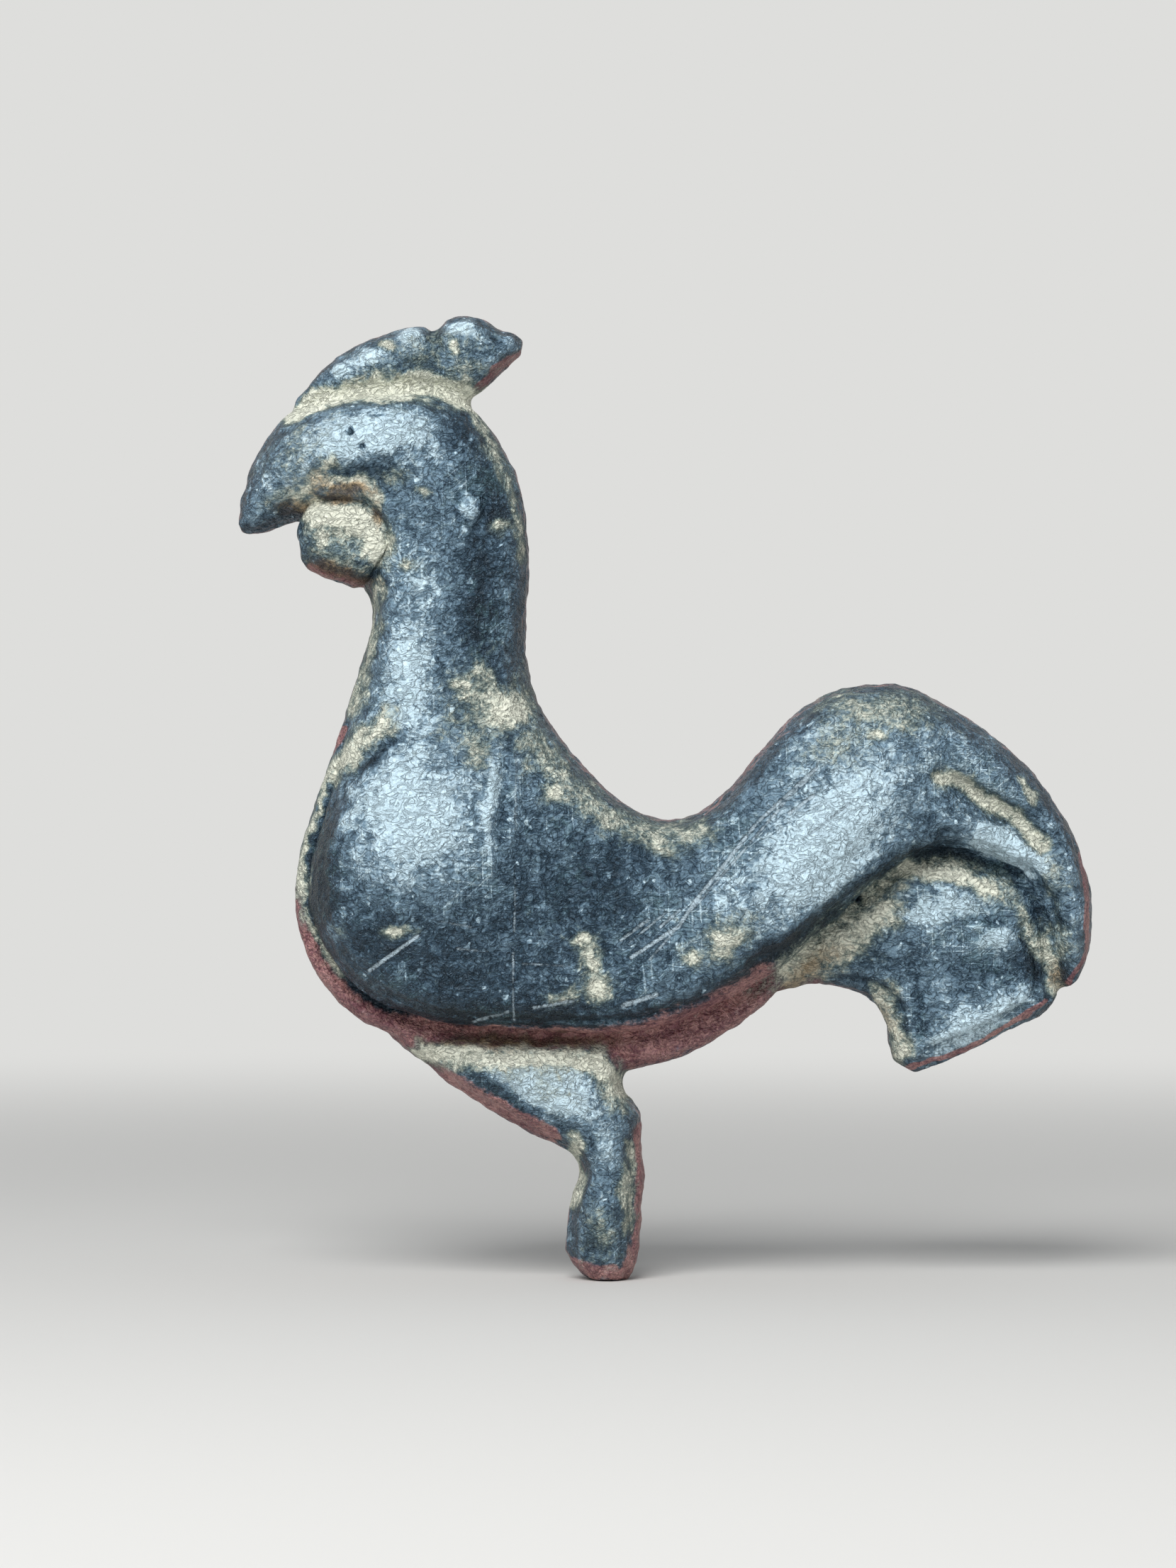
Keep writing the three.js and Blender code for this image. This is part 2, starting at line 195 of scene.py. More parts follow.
def keep_largest(mesh):
    """Drops the small closed hollows that the remesh leaves inside the skin."""
    work = bmesh.new()
    work.from_mesh(mesh)
    unseen = set(work.verts)
    largest = []
    while unseen:
        island = []
        front = [unseen.pop()]
        while front:
            vert = front.pop()
            island.append(vert)
            for edge in vert.link_edges:
                other = edge.other_vert(vert)
                if other in unseen:
                    unseen.remove(other)
                    front.append(other)
        largest = max(largest, island, key=len)
    kept = set(largest)
    bmesh.ops.delete(work, geom=[vert for vert in work.verts if vert not in kept], context="VERTS")
    work.to_mesh(mesh)
    work.free()


# Relief

COMB_GROOVE = [(-14.4, 40.4), (-12.5, 41.1), (-10.5, 41.4), (-8.5, 41.5), (-6.5, 41.3), (-5.8, 40.9)]
TAIL_CREASE = [
    (7.2, 14.7), (8.9, 15.7), (10.6, 16.9), (12.0, 17.8), (13.3, 18.8),
    (14.5, 19.7), (15.7, 19.9), (17.7, 19.4), (19.3, 18.8),
]
BREAST_EDGE = [(-9.8, 25.0), (-11.2, 24.4), (-12.4, 23.1), (-13.2, 21.5), (-13.5, 20.0), (-13.5, 18.2)]
FEATHER_GROOVE = [(15.6, 23.5), (17.4, 22.6), (19.0, 21.6), (20.4, 20.3)]
FACE_EDGE = [
    (-13.4, 16.0), (-12.9, 14.9), (-11.6, 13.6), (-9.1, 12.4), (-6.7, 11.7),
    (-3.1, 11.5), (1.7, 11.9), (4.1, 12.7), (7.3, 13.9),
]
EAR_RING = [(-6.1, 36.7), (-5.5, 36.3), (-5.4, 35.6), (-5.9, 35.0), (-6.5, 35.2), (-6.8, 35.9), (-6.6, 36.5)]

# Each ridge or groove: its line, its width and how far it stands out, negative where it is sunk
RIDGES = [
    (COMB_GROOVE, 0.5, -0.25),
    (TAIL_CREASE, 0.45, -0.35),
    ([(8.0, 16.2), (10.0, 17.9), (12.0, 19.2), (13.4, 20.1), (14.8, 20.8)], 0.6, 0.35),  # the sweep's edge
    (BREAST_EDGE, 0.55, -0.3),
    (FEATHER_GROOVE, 0.45, -0.3),
    (FACE_EDGE, 0.45, -0.4),
    ([(-13.0, 37.3), (-11.2, 37.3), (-9.8, 37.6)], 0.5, -0.2),  # under the brow
    (EAR_RING, 0.18, -0.2),
    ([(-12.8, 36.8), (-10.8, 36.7), (-9.5, 35.4), (-9.2, 34.0)], 0.5, 0.3),  # around the wattle
    ([(15.6, 21.6), (17.6, 21.0), (19.3, 20.0)], 0.45, 0.2),  # middle tail feather
    ([(19.6, 19.2), (20.6, 17.6), (20.9, 16.4)], 0.4, -0.25),
    ([(21.3, 22.0), (21.9, 19.0), (21.9, 16.0)], 0.7, 0.2),  # outer tail feather
    ([(13.8, 18.3), (15.6, 18.2), (16.9, 17.4)], 0.5, 0.2),  # ripples of the lower feather
    ([(17.2, 16.4), (18.3, 16.1), (18.9, 15.4)], 0.3, 0.2),
    ([(19.4, 16.4), (20.2, 14.9), (20.2, 13.4)], 0.3, -0.25),
    ([(14.4, 14.9), (14.6, 12.8), (14.8, 11.0)], 0.35, -0.1),
    ([(15.2, 10.7), (17.4, 11.6), (19.6, 12.8)], 0.25, -0.15),
    ([(-5.1, 23.9), (-5.3, 21.0), (-5.1, 18.9)], 0.26, 0.2),  # behind the breast
    ([(-3.9, 24.0), (-4.0, 22.0), (-4.4, 20.2)], 0.22, 0.14),
    ([(-4.5, 23.8), (-4.6, 21.4)], 0.2, -0.15),
    ([(-6.0, 10.2), (-2.8, 9.4), (-0.6, 7.6), (0.1, 5.5), (0.1, 1.5)], 0.8, 0.3),  # thigh and shank
    ([(-7.9, 10.4), (-4.0, 10.5), (-0.6, 10.2)], 0.35, -0.2),
]

# Each swelling or hollow: its middle, half its length and breadth, its turn, how far it stands out
SWELLINGS = [
    ((-7.6, 26.6), (3.0, 1.8), 0, -0.2),  # foot of the neck
    ((-11.65, 39.35), (0.2, 0.18), 0, -0.3),  # pits in the brow
    ((-11.1, 38.65), (0.2, 0.17), 0, -0.25),
    ((-10.3, 40.2), (0.45, 0.16), 10, -0.15),
    ((12.0, 17.75), (0.2, 0.17), 30, -0.6),  # pore in the tail's crease
    ((-6.1, 35.65), (0.6, 0.8), 0, 0.26),  # ear
    ((-12.2, 42.4), (0.4, 0.35), 0, 0.2),  # lumps of the comb
    ((-10.9, 42.85), (0.45, 0.4), 20, 0.25),
    ((-10.0, 43.65), (0.32, 0.28), 0, 0.22),
    ((-8.95, 43.9), (0.42, 0.32), 0, 0.25),
    ((-9.6, 42.7), (0.45, 0.3), 0, 0.12),
    ((-7.0, 43.5), (0.35, 0.5), 20, 0.22),
    ((-6.2, 44.3), (0.5, 0.35), 0, 0.22),
    ((-5.6, 42.9), (0.6, 0.5), 0, 0.15),
    ((-4.4, 43.6), (0.4, 0.35), 0, 0.2),
    ((-8.6, 42.7), (0.6, 0.4), 0, -0.2),
    ((-7.8, 44.0), (0.3, 0.6), 0, -0.25),  # notch
    ((-5.0, 43.8), (0.2, 0.4), 20, -0.15),
    ((-12.5, 16.4), (0.5, 0.6), 0, 0.08),
    ((-2.0, 22.6), (0.5, 0.4), 0, 0.12),
    ((-4.6, 26.5), (1.2, 0.9), 30, 0.12),
]

# How far the surface turns to the side where a flank's relief starts, and where it is full
RELIEF_FACING = (0.25, 0.7)

# Unevenness of the cast surface: how long its waves are and how high
CAST_WAVES = [(2.6, 0.08), (1.1, 0.06)]
FINE_WAVES = [(0.6, 0.045), (0.33, 0.035)]


def from_line(x, z, points):
    """How far each place on the flank is from a line through some points."""
    nearest = np.full(len(x), np.inf)
    for (ax, az), (bx, bz) in zip(points, points[1:]):
        dx, dz = bx - ax, bz - az
        along = np.clip(((x - ax) * dx + (z - az) * dz) / (dx * dx + dz * dz), 0, 1)
        nearest = np.minimum(nearest, np.hypot(x - ax - along * dx, z - az - along * dz))
    return nearest


def on_line(x, z, points, width):
    """1 on a line, falling off to its sides like a bell."""
    return np.exp(-((from_line(x, z, points) / width) ** 2))


def in_oval(x, z, middle, half, turn):
    """1 in the middle of an oval, falling off like a bell."""
    angle = math.radians(turn)
    dx, dz = x - middle[0], z - middle[1]
    along = (dx * math.cos(angle) + dz * math.sin(angle)) / half[0]
    across = (dz * math.cos(angle) - dx * math.sin(angle)) / half[1]
    return np.exp(-(along**2) - across**2)


def in_ovals(x, z, rows):
    """The sum of some ovals, each with how much it adds in its middle."""
    return sum(in_oval(x, z, *oval) * amount for *oval, amount in rows)


def waves(points, sizes):
    """Smooth random waves of a few lengths over the points."""
    total = 0
    for length, high in sizes:
        total = total + np.array([noise.noise(Vector(point) / length) for point in points]) * high
    return total


def relief_at(x, z, ridges, swellings):
    """How far some ridges, grooves, swellings and hollows stand out of the flank."""
    lines = sum(on_line(x, z, line, width) * stands for line, width, stands in ridges)
    return lines + in_ovals(x, z, swellings)


def add_relief(mesh):
    points, outward = surface_of(mesh)
    on_flank = step(np.abs(outward[:, 1]), *RELIEF_FACING)
    height = relief_at(points[:, 0], points[:, 2], RIDGES, SWELLINGS) * on_flank + waves(points, CAST_WAVES)
    set_points(mesh, kept_in_box(points + outward * height[:, None]))


def add_fine_waves(mesh):
    points, outward = surface_of(mesh)
    set_points(mesh, kept_in_box(points + outward * waves(points, FINE_WAVES)[:, None]))


def kept_in_box(points):
    low, high = (np.array(corner) / MM for corner in cad_box)
    return np.clip(points, low + BOX_ROOM * (low < 0), high - BOX_ROOM)


def worked_skin():
    """The skin of all but the wattles, with the relief and waves of the casting and a flat end to the leg."""
    skin = skin_of(["left_body_half", "right_body_half", "comb", "leg", "lower_tail_feather"])
    add_relief(skin.data)
    smoothed(skin, EDGE_SMOOTHING)
    add_fine_waves(skin.data)
    points = vectors(skin.data.vertices, "co")
    points[:, 2] = np.maximum(points[:, 2], 0)
    set_points(skin.data, points)
    return skin


# Wattles, in the same form as the relief

WATTLE_GROWTH = 0.12
WATTLE_RIDGES = [([(-13.0, 35.3), (-11.8, 35.2), (-10.9, 34.6), (-9.9, 33.8)], 0.4, 0.15)]
WATTLE_SWELLINGS = [((-11.9, 34.4), (0.9, 0.5), -10, -0.3)]
WATTLE_FACING = (0.3, 0.8)
WATTLE_WAVES = 1.5  # times as high as those of the rest
THROAT_EDGE = (-10.4, -9.6)  # x where the lump starts to reach towards the throat, and does so in full
THROAT_REACH = 0.25
HEAD_EDGE = (35.0, 36.0)  # z where it starts to reach up into the head, and does so in full
HEAD_REACH = 0.4
WATTLE_SEAT = [(-13.4, 36.2), (-10.9, 36.3), (-9.6, 35.1), (-9.4, 34.0)]
SEAT_WIDTH = 0.55
SEAT_REACH = 0.25  # how far it goes in towards the seam along its seat


def wattle(node, name):
    """A wattle as a lump of its own, which reaches a little into the throat."""
    lump = remeshed(new_object(name, grown_copy(node, WATTLE_GROWTH)))
    points, outward = surface_of(lump.data)
    x, z = points[:, 0], points[:, 2]
    height = relief_at(x, z, WATTLE_RIDGES, WATTLE_SWELLINGS) * step(np.abs(outward[:, 1]), *WATTLE_FACING)
    height += waves(points, CAST_WAVES + FINE_WAVES) * WATTLE_WAVES
    points += outward * height[:, None]
    points[:, 0] += step(x, *THROAT_EDGE) * THROAT_REACH
    points[:, 2] += step(z, *HEAD_EDGE) * HEAD_REACH
    points[:, 1] -= np.sign(points[:, 1]) * on_line(x, z, WATTLE_SEAT, SEAT_WIDTH) * SEAT_REACH
    set_points(lump.data, points)
    return lump


# Paint: what lies on each place, and the painted highlights and shade, kept as attributes of the points

PAINT_DRIFT = [(1.5, 0.35), (0.6, 0.25)]  # how the edges of what lies on the surface wander
WALL_DRIFT = 0.4  # the share of that by which the edges of the reddish bands wander
LINE_END = 2.6  # how many half widths from its line a deposit ends
FILM_LEVEL = 0.5  # how much pale bluish film the patina has where nothing else is said

# A line is given with its half width and strength, and a patch as a swelling is, with its strength
CREAM_LINES = [
    (COMB_GROOVE, 0.42, 1.3),
    ([(-10.4, 41.5), (-8.5, 41.6), (-6.7, 41.4), (-6.0, 40.9)], 0.46, 1.4),
    ([(-6.4, 40.6), (-5.6, 39.6), (-4.9, 38.3), (-4.1, 36.1), (-3.7, 33.6)], 0.2, 0.75),
    (FEATHER_GROOVE, 0.28, 1.1),
    ([(14.2, 19.1), (15.2, 19.0), (16.5, 19.0), (17.9, 18.4)], 0.38, 1.1),
    ([(17.9, 18.5), (19.0, 17.7), (19.9, 16.3)], 0.35, 0.66),
    ([(20.2, 15.9), (20.8, 14.9), (21.1, 13.5)], 0.32, 0.85),
    ([(-9.9, 26.1), (-11.5, 24.8), (-12.8, 23.4)], 0.38, 1.05),
    ([(-12.6, 23.4), (-13.4, 21.7), (-13.9, 20.0), (-14.1, 17.9)], 0.22, 0.95),
    ([(-14.1, 17.9), (-13.5, 16.0), (-12.3, 14.3)], 0.14, 0.75),
    ([(-10.5, 32.5), (-10.8, 29.5), (-11.6, 26.4)], 0.3, 0.75),
    ([(-3.3, 25.2), (-1.6, 23.1), (0.6, 21.4), (2.9, 20.6), (4.6, 21.0)], 0.5, 0.68),
    ([(-13.9, 36.2), (-13.2, 37.3), (-12.2, 36.8), (-11.0, 36.9), (-10.5, 36.3)], 0.32, 0.9),
    ([(-13.2, 35.6), (-11.6, 35.6), (-10.8, 34.8), (-10.1, 33.8)], 0.5, 1.2),
    ([(-8.2, 10.6), (-3.1, 10.4), (-0.2, 10.15), (0.4, 9.6), (0.9, 8.8)], 0.46, 1.15),
    ([(-1.3, 6.7), (-1.2, 5.4), (-1.2, 3.8)], 0.26, 0.95),
    ([(1.2, 6.4), (1.25, 4.4), (1.15, 2.2)], 0.22, 0.8),
    ([(13.0, 13.5), (13.5, 12.0), (13.9, 10.4)], 0.36, 0.95),
    ([(9.0, 14.4), (11.2, 15.9), (12.9, 17.0)], 0.7, 1.0),
    ([(12.2, 17.6), (13.4, 18.4)], 0.45, 0.8),
    ([(19.5, 23.2), (20.0, 22.4)], 0.22, 0.8),
]
CREAM_PATCHES = [
    ((-4.5, 26.5), (1.4, 1.2), 30, 1.25),
    ((-5.4, 28.3), (1.0, 0.6), 0, 1.0),
    ((-6.5, 27.6), (0.7, 0.7), 0, 0.95),
    ((-5.2, 27.0), (2.2, 1.9), 0, 0.7),
    ((-5.8, 24.6), (0.8, 1.1), 0, 0.8),
    ((-7.2, 25.8), (1.2, 0.8), 60, 0.5),
    ((-10.2, 25.7), (0.8, 0.6), 40, 1.0),
    ((-2.2, 22.7), (0.7, 0.55), 0, 1.05),
    ((0.2, 21.3), (1.0, 0.5), -30, 0.85),
    ((2.6, 20.4), (0.9, 0.5), -10, 1.0),
    ((3.9, 20.7), (0.6, 0.4), 10, 0.95),
    ((-3.4, 24.0), (0.8, 1.0), 40, 0.45),
    ((0.8, 21.2), (2.2, 0.8), -14, 0.6),
    ((5.7, 16.0), (1.4, 0.9), 35, 1.0),
    ((4.0, 15.3), (0.6, 0.5), 0, 1.05),
    ((-10.0, 43.65), (0.42, 0.3), -30, 1.2),
    ((-7.0, 43.5), (0.3, 0.55), 20, 1.05),
    ((-6.4, 42.5), (1.5, 0.6), 0, 0.6),
    ((-5.2, 38.6), (0.6, 0.7), 0, 0.8),
    ((-4.8, 34.9), (0.55, 0.5), 0, 0.9),
    ((-8.9, 33.1), (0.35, 0.3), 0, 0.95),
    ((-8.2, 36.6), (0.45, 0.35), 0, 0.85),
    ((-12.6, 37.7), (0.8, 0.4), 20, 0.5),
    ((-14.3, 36.4), (1.7, 0.6), 15, 0.65),
    ((-9.4, 37.2), (1.0, 0.6), 0, 0.5),
    ((-14.0, 39.2), (0.9, 0.35), 45, 0.55),
    ((-14.2, 38.2), (2.6, 1.7), 50, 0.4),
    ((-12.6, 37.9), (0.5, 0.35), 30, 0.9),
    ((-8.0, 43.3), (4.6, 1.3), 14, 0.38),
    ((12.8, 26.5), (3.4, 1.1), -3, 0.72),
    ((12.6, 25.3), (0.6, 0.35), 0, 1.0),
    ((11.0, 25.2), (1.6, 1.2), 30, 0.55),
    ((21.3, 15.9), (0.8, 1.0), 0, 0.65),
    ((21.0, 18.6), (0.7, 1.8), 10, 0.5),
    ((11.6, 16.3), (1.6, 1.4), 40, 0.6),
    ((8.2, 13.9), (1.6, 0.5), 30, 0.5),
    ((12.7, 16.9), (0.9, 0.6), 40, 1.15),
    ((-3.4, 10.0), (3.2, 0.8), -10, 0.65),
    ((-2.4, 9.0), (2.0, 0.8), -25, 0.45),
    ((0.8, 8.2), (0.6, 0.7), 0, 0.6),
    ((-0.1, 2.4), (1.1, 1.8), 0, 0.5),
    ((-12.0, 34.7), (1.9, 1.3), 0, 0.85),
    ((-12.2, 33.3), (1.9, 0.7), -12, 0.5),
    ((-13.1, 34.6), (0.4, 0.9), 0, 1.0),
    ((-9.4, 16.4), (0.75, 0.36), -12, 1.15),
    ((-12.0, 16.4), (0.4, 0.5), 0, 0.5),
    ((-0.9, 15.95), (0.8, 0.36), 0, 1.05),
    ((-0.6, 14.9), (0.65, 1.1), 5, 1.05),
    ((-0.3, 13.7), (0.75, 0.65), 0, 1.35),
    ((-1.7, 13.4), (1.3, 0.4), 0, 0.65),
]
CREAM_GAPS = [  # where the deposits are worn off again
    ((-12.1, 34.3), (0.9, 0.4), -10, 0.25),
    ((-12.4, 33.0), (1.6, 0.3), -8, 0.15),
    ((-4.9, 28.4), (0.5, 0.4), 0, 0.6),
    # clear of deposit in the tail's pore, which holds painted shade
    ((12.0, 17.75), (0.17, 0.14), 0, 2.0),
]
OCHRE_PATCHES = [
    ((-11.8, 36.5), (1.5, 0.4), 5, 1.15),
    ((-14.2, 35.9), (1.2, 0.4), 10, 0.9),
    ((-13.0, 37.0), (0.8, 0.8), 0, 0.75),
    ((-12.2, 32.9), (1.9, 0.35), -14, 1.3),
    ((-10.4, 35.4), (0.3, 0.8), 0, 0.9),
    ((-3.2, 11.25), (5.5, 0.34), 0, 1.1),
    ((9.4, 14.3), (2.6, 0.7), 36, 0.8),
    ((21.2, 14.2), (0.6, 0.9), 15, 0.8),
    ((13.4, 12.2), (0.5, 1.4), 15, 0.5),
]
FILM_HIGHLIGHT_AND_SHADE_PATCHES = [  # where the patina has more of its pale bluish film, or less of it, with painted highlights where the lamp's light falls and painted shade in creases and under overhangs
    ((-13.8, 38.0), (2.4, 1.8), 50, 0.18),
    # painted highlight on the brow
    ((-10.8, 39.2), (2.3, 1.1), 6, 0.8),
    ((-8.2, 38.6), (1.2, 1.4), 0, 0.15),
    ((-8.6, 36.2), (1.2, 1.0), 0, -0.05),
    ((-6.1, 35.65), (0.65, 0.85), 0, 0.4),
    ((-5.4, 35.2), (0.16, 0.7), -14, -0.5),
    ((-8.4, 32.0), (1.6, 4.0), 0, 0.22),
    ((-9.0, 27.6), (1.2, 2.8), 8, 0.5),
    # painted highlight on the breast
    ((-8.9, 21.8), (3.1, 2.7), -10, 0.75),
    ((-5.1, 22.4), (0.3, 2.4), -5, 0.5),
    ((7.0, 18.2), (4.6, 1.6), 43, 0.16),
    ((4.0, 18.4), (2.0, 1.4), 40, 0.15),
    # painted highlight on the tail's sweep
    ((9.8, 20.5), (3.2, 1.4), 43, 0.75),
    ((10.6, 18.9), (3.4, 0.8), 43, 0.5),
    ((11.5, 23.6), (4.8, 3.0), 0, 0.26),
    ((12.0, 26.4), (3.0, 1.0), 0, 0.05),
    ((18.8, 19.9), (2.1, 0.75), -22, 1.3),
    ((15.6, 17.3), (2.2, 0.8), 12, 0.55),
    ((18.3, 15.9), (0.9, 0.45), 10, 0.7),
    ((18.6, 12.9), (2.2, 0.8), 32, 0.36),
    ((16.5, 11.6), (1.8, 0.8), 20, 0.4),
    ((-10.9, 42.8), (0.9, 0.5), 20, 0.7),
    ((-12.2, 42.4), (0.6, 0.5), 0, 0.55),
    ((-8.95, 43.9), (0.6, 0.45), 0, 1.1),
    ((-6.6, 44.3), (0.7, 0.45), 0, 0.65),
    ((-4.5, 43.9), (0.4, 0.25), 0, 0.15),
    ((-2.6, 9.3), (2.4, 1.0), -20, 1.25),
    ((-12.3, 33.0), (2.0, 0.5), -14, -0.6),
    ((0.2, 6.0), (0.6, 1.4), 0, 0.35),
    ((-12.3, 16.4), (0.6, 0.7), 0, 0.5),
    ((-10.6, 16.0), (2.0, 1.4), -10, -0.26),
    ((-5.5, 12.9), (4.5, 0.7), -4, -0.26),
    # painted shade along the breast's upper edge
    ((-10.5, 24.4), (1.4, 0.28), 32, -0.5),
    ((-11.65, 39.35), (0.17, 0.15), 0, -0.8),
    ((-11.1, 38.65), (0.17, 0.14), 0, -0.8),
    ((-8.7, 42.6), (1.2, 0.5), 0, -0.25),
    # painted shade under the brow
    ((-11.0, 37.4), (1.5, 0.5), 8, -0.35),
    ((-6.6, 39.4), (0.5, 0.9), 20, -0.4),
    ((-5.0, 36.8), (0.8, 1.8), 15, -0.4),
    ((-5.6, 31.5), (0.9, 3.6), 3, -0.5),
    ((-1.6, 17.0), (5.6, 3.6), 0, -0.12),
    ((-8.0, 14.6), (5.0, 2.2), -12, -0.18),
    ((-4.8, 15.2), (2.6, 1.6), 0, 0.08),
    # painted shade on the breast's left side
    ((-12.9, 19.5), (0.8, 2.8), 0, -0.65),
    ((-0.5, 18.6), (3.6, 2.0), 0, -0.12),
    # painted shade in the crease under the tail's sweep
    ((9.6, 16.2), (2.6, 0.35), 36, -0.6),
    # painted shade in the pore
    ((12.0, 17.75), (0.14, 0.12), 0, -2.0),
    ((13.8, 19.3), (1.6, 0.35), 38, -0.7),
    ((16.6, 19.6), (2.2, 0.3), -12, -0.6),
    ((16.4, 20.8), (1.6, 0.7), -10, -0.15),
    ((0.0, 1.6), (1.2, 1.6), 0, -0.15),
    ((-8.4, 19.0), (2.6, 1.2), -5, 0.14),
    ((18.0, 14.5), (2.2, 0.5), 0, -0.15),
    ((20.0, 14.6), (0.35, 1.4), 15, -0.5),
    ((14.6, 12.6), (0.35, 1.8), 5, -0.2),
    ((7.0, 14.9), (2.4, 0.5), 35, -0.45),
    ((-4.6, 8.7), (2.6, 0.4), -32, -0.5),
    ((-2.0, 12.6), (7.0, 0.5), 3, -0.3),
    ((15.4, 13.8), (1.2, 1.2), 0, 0.2),
]

# Painted shade where the surface faces less to the side: from where, to where, and by how much
EDGE_SHADE_FACING = (0.75, 0.3)
EDGE_SHADE = 0.3

# The reddish rims and bands are bare metal, partly lit by a painted reflection of red cloth below.
# The reddish rims along the seam: how little they face to the side, and how far past a piece's wall
# height they reach, each first where they end and then where they are full
RIM_WALL = 0.52  # how reddish the rims are beside the bands below
RIM_FACING = (0.38, 0.12)
RIM_HEIGHT = (0.9, 0.1)
CREASE_COVER = 1.2  # how far about the tail's crease they stay covered
EDGE_COVER = 0.8  # and about the breast's edge

# How far from the seam the sides of each piece are bare and take the painted red reflection
WALL_HEIGHTS = {
    "left_body_half": 1.7,
    "right_body_half": 1.7,
    "comb": 0.5,
    "leg": 1.1,
    "lower_tail_feather": 1.0,
    "left_wattle": 0.2,
    "right_wattle": 0.2,
}

# Where the reddish side of the casting shows on the flank, bare metal with a painted red reflection: line,
# half width
WALL_BANDS = [
    ([(-12.0, 25.6), (-13.4, 23.6), (-14.3, 21.4), (-14.7, 19.6)], 0.14),
    ([(-14.7, 19.6), (-14.5, 17.6), (-13.7, 15.1), (-12.1, 13.1), (-10.0, 11.9)], 0.44),
    ([(-10.9, 12.3), (-9.4, 11.5), (-8.0, 10.6)], 0.4),
    ([(-10.0, 11.9), (-6.5, 11.35), (-1.6, 11.25), (1.9, 11.4)], 0.45),
    ([(1.2, 10.8), (3.0, 11.35), (5.0, 12.1), (7.8, 13.7)], 0.9),
    ([(4.2, 11.4), (7.0, 12.9)], 0.6),
    ([(7.2, 12.9), (8.6, 13.7), (10.0, 13.9)], 0.22),
    ([(-8.6, 10.4), (-6.7, 9.2), (-4.6, 8.0), (-2.4, 6.8)], 0.34),
    ([(1.75, 7.0), (1.8, 4.0), (1.7, 1.4)], 0.26),
    ([(-1.3, 0.8), (-0.4, 0.45), (1.0, 0.4), (1.7, 1.6)], 0.3),
    ([(-5.9, 41.3), (-4.9, 42.4), (-3.7, 43.2)], 0.14),
    ([(22.2, 19.8), (22.5, 17.6), (22.45, 15.2), (21.7, 13.9)], 0.13),
    ([(14.2, 9.8), (17.5, 11.1), (20.6, 13.0)], 0.1),
    ([(-13.6, 33.1), (-12.4, 32.65), (-11.2, 32.4)], 0.16),
]
BAND_EDGE = (2.1, 0.4)  # how many half widths from its line a band ends, and is full


def painted(x, z, lines, patches):
    """The strongest of some lines and patches at each place."""
    amount = np.zeros(len(x))
    for line, half_width, strength in lines:
        amount = np.maximum(amount, step(from_line(x, z, line), half_width * LINE_END, 0) * strength)
    for *oval, strength in patches:
        amount = np.maximum(amount, in_oval(x, z, *oval) * strength)
    return amount


def bands_at(x, z):
    """How much of the reddish bands shows at each place."""
    ends, full = BAND_EDGE
    amounts = []
    for line, half_width in WALL_BANDS:
        amounts.append(step(from_line(x, z, line), half_width * ends, half_width * full))
    return np.max(amounts, 0)


def rims_at(points, facing, wall_height):
    """How much of the reddish rims shows at each place."""
    x, y, z = points.T
    ends, full = RIM_HEIGHT
    amount = step(facing, *RIM_FACING) * step(np.abs(y), wall_height + ends, wall_height + full)
    amount *= 1 - on_line(x, z, TAIL_CREASE, CREASE_COVER)
    amount *= 1 - on_line(x, z, BREAST_EDGE, EDGE_COVER)
    return amount * RIM_WALL


def concavity(mesh):
    """How far each point lies below its surroundings, in voxels."""
    points, outward = surface_of(mesh)
    ends = np.empty(len(mesh.edges) * 2, int)
    mesh.edges.foreach_get("vertices", ends)
    a, b = ends[::2], ends[1::2]
    count = np.bincount(ends, minlength=len(points))[:, None]
    around = points
    for _ in range(SUNK_REACH):
        total = np.empty_like(around)
        for axis, values in enumerate(around.T):
            total[:, axis] = np.bincount(a, values[b], len(points)) + np.bincount(b, values[a], len(points))
        around = total / count
    return ((around - points) * outward).sum(1) / VOXEL


def hollows_of(skin):
    """A function that gives how far a place of the skin is sunk, from 1 in a hollow to -1 on a ridge."""
    sunk = np.clip(concavity(skin.data), -1, 1)
    tree = kdtree.KDTree(len(sunk))
    for index, point in enumerate(vectors(skin.data.vertices, "co")):
        tree.insert(point, index)
    tree.balance()
    return lambda place: sunk[tree.find(place)[1]]


def not_sunk(place):
    """The same for the wattles, which have no hollows that hold deposits."""
    return 0.0


def add_paint(mesh, sunk, wall_height):
    """Keeps on each point of a piece what lies on it, and its painted highlights and shade."""
    points, outward = surface_of(mesh)
    facing = np.abs(outward[:, 1])
    x, z = points[:, 0], points[:, 2]
    drift_x = waves(points, PAINT_DRIFT)
    drift_z = waves(points[:, [2, 0, 1]], PAINT_DRIFT)  # with the axes swapped, for waves of its own
    bands = bands_at(x + drift_x * WALL_DRIFT, z + drift_z * WALL_DRIFT)
    x, z = x + drift_x, z + drift_z
    kept = {
        "cream": painted(x, z, CREAM_LINES, CREAM_PATCHES) - painted(x, z, [], CREAM_GAPS),
        "ochre": painted(x, z, [], OCHRE_PATCHES),
        "film_and_painted_light": FILM_LEVEL + in_ovals(x, z, FILM_HIGHLIGHT_AND_SHADE_PATCHES) - step(facing, *EDGE_SHADE_FACING) * EDGE_SHADE,
        "wall": np.maximum(rims_at(points, facing, wall_height), bands),
        "sunk": sunk,
    }
    for name, values in kept.items():
        attribute = mesh.attributes.get(name) or mesh.attributes.new(name, "FLOAT", "POINT")
        attribute.data.foreach_set("value", values.astype(np.float32))


# Pieces

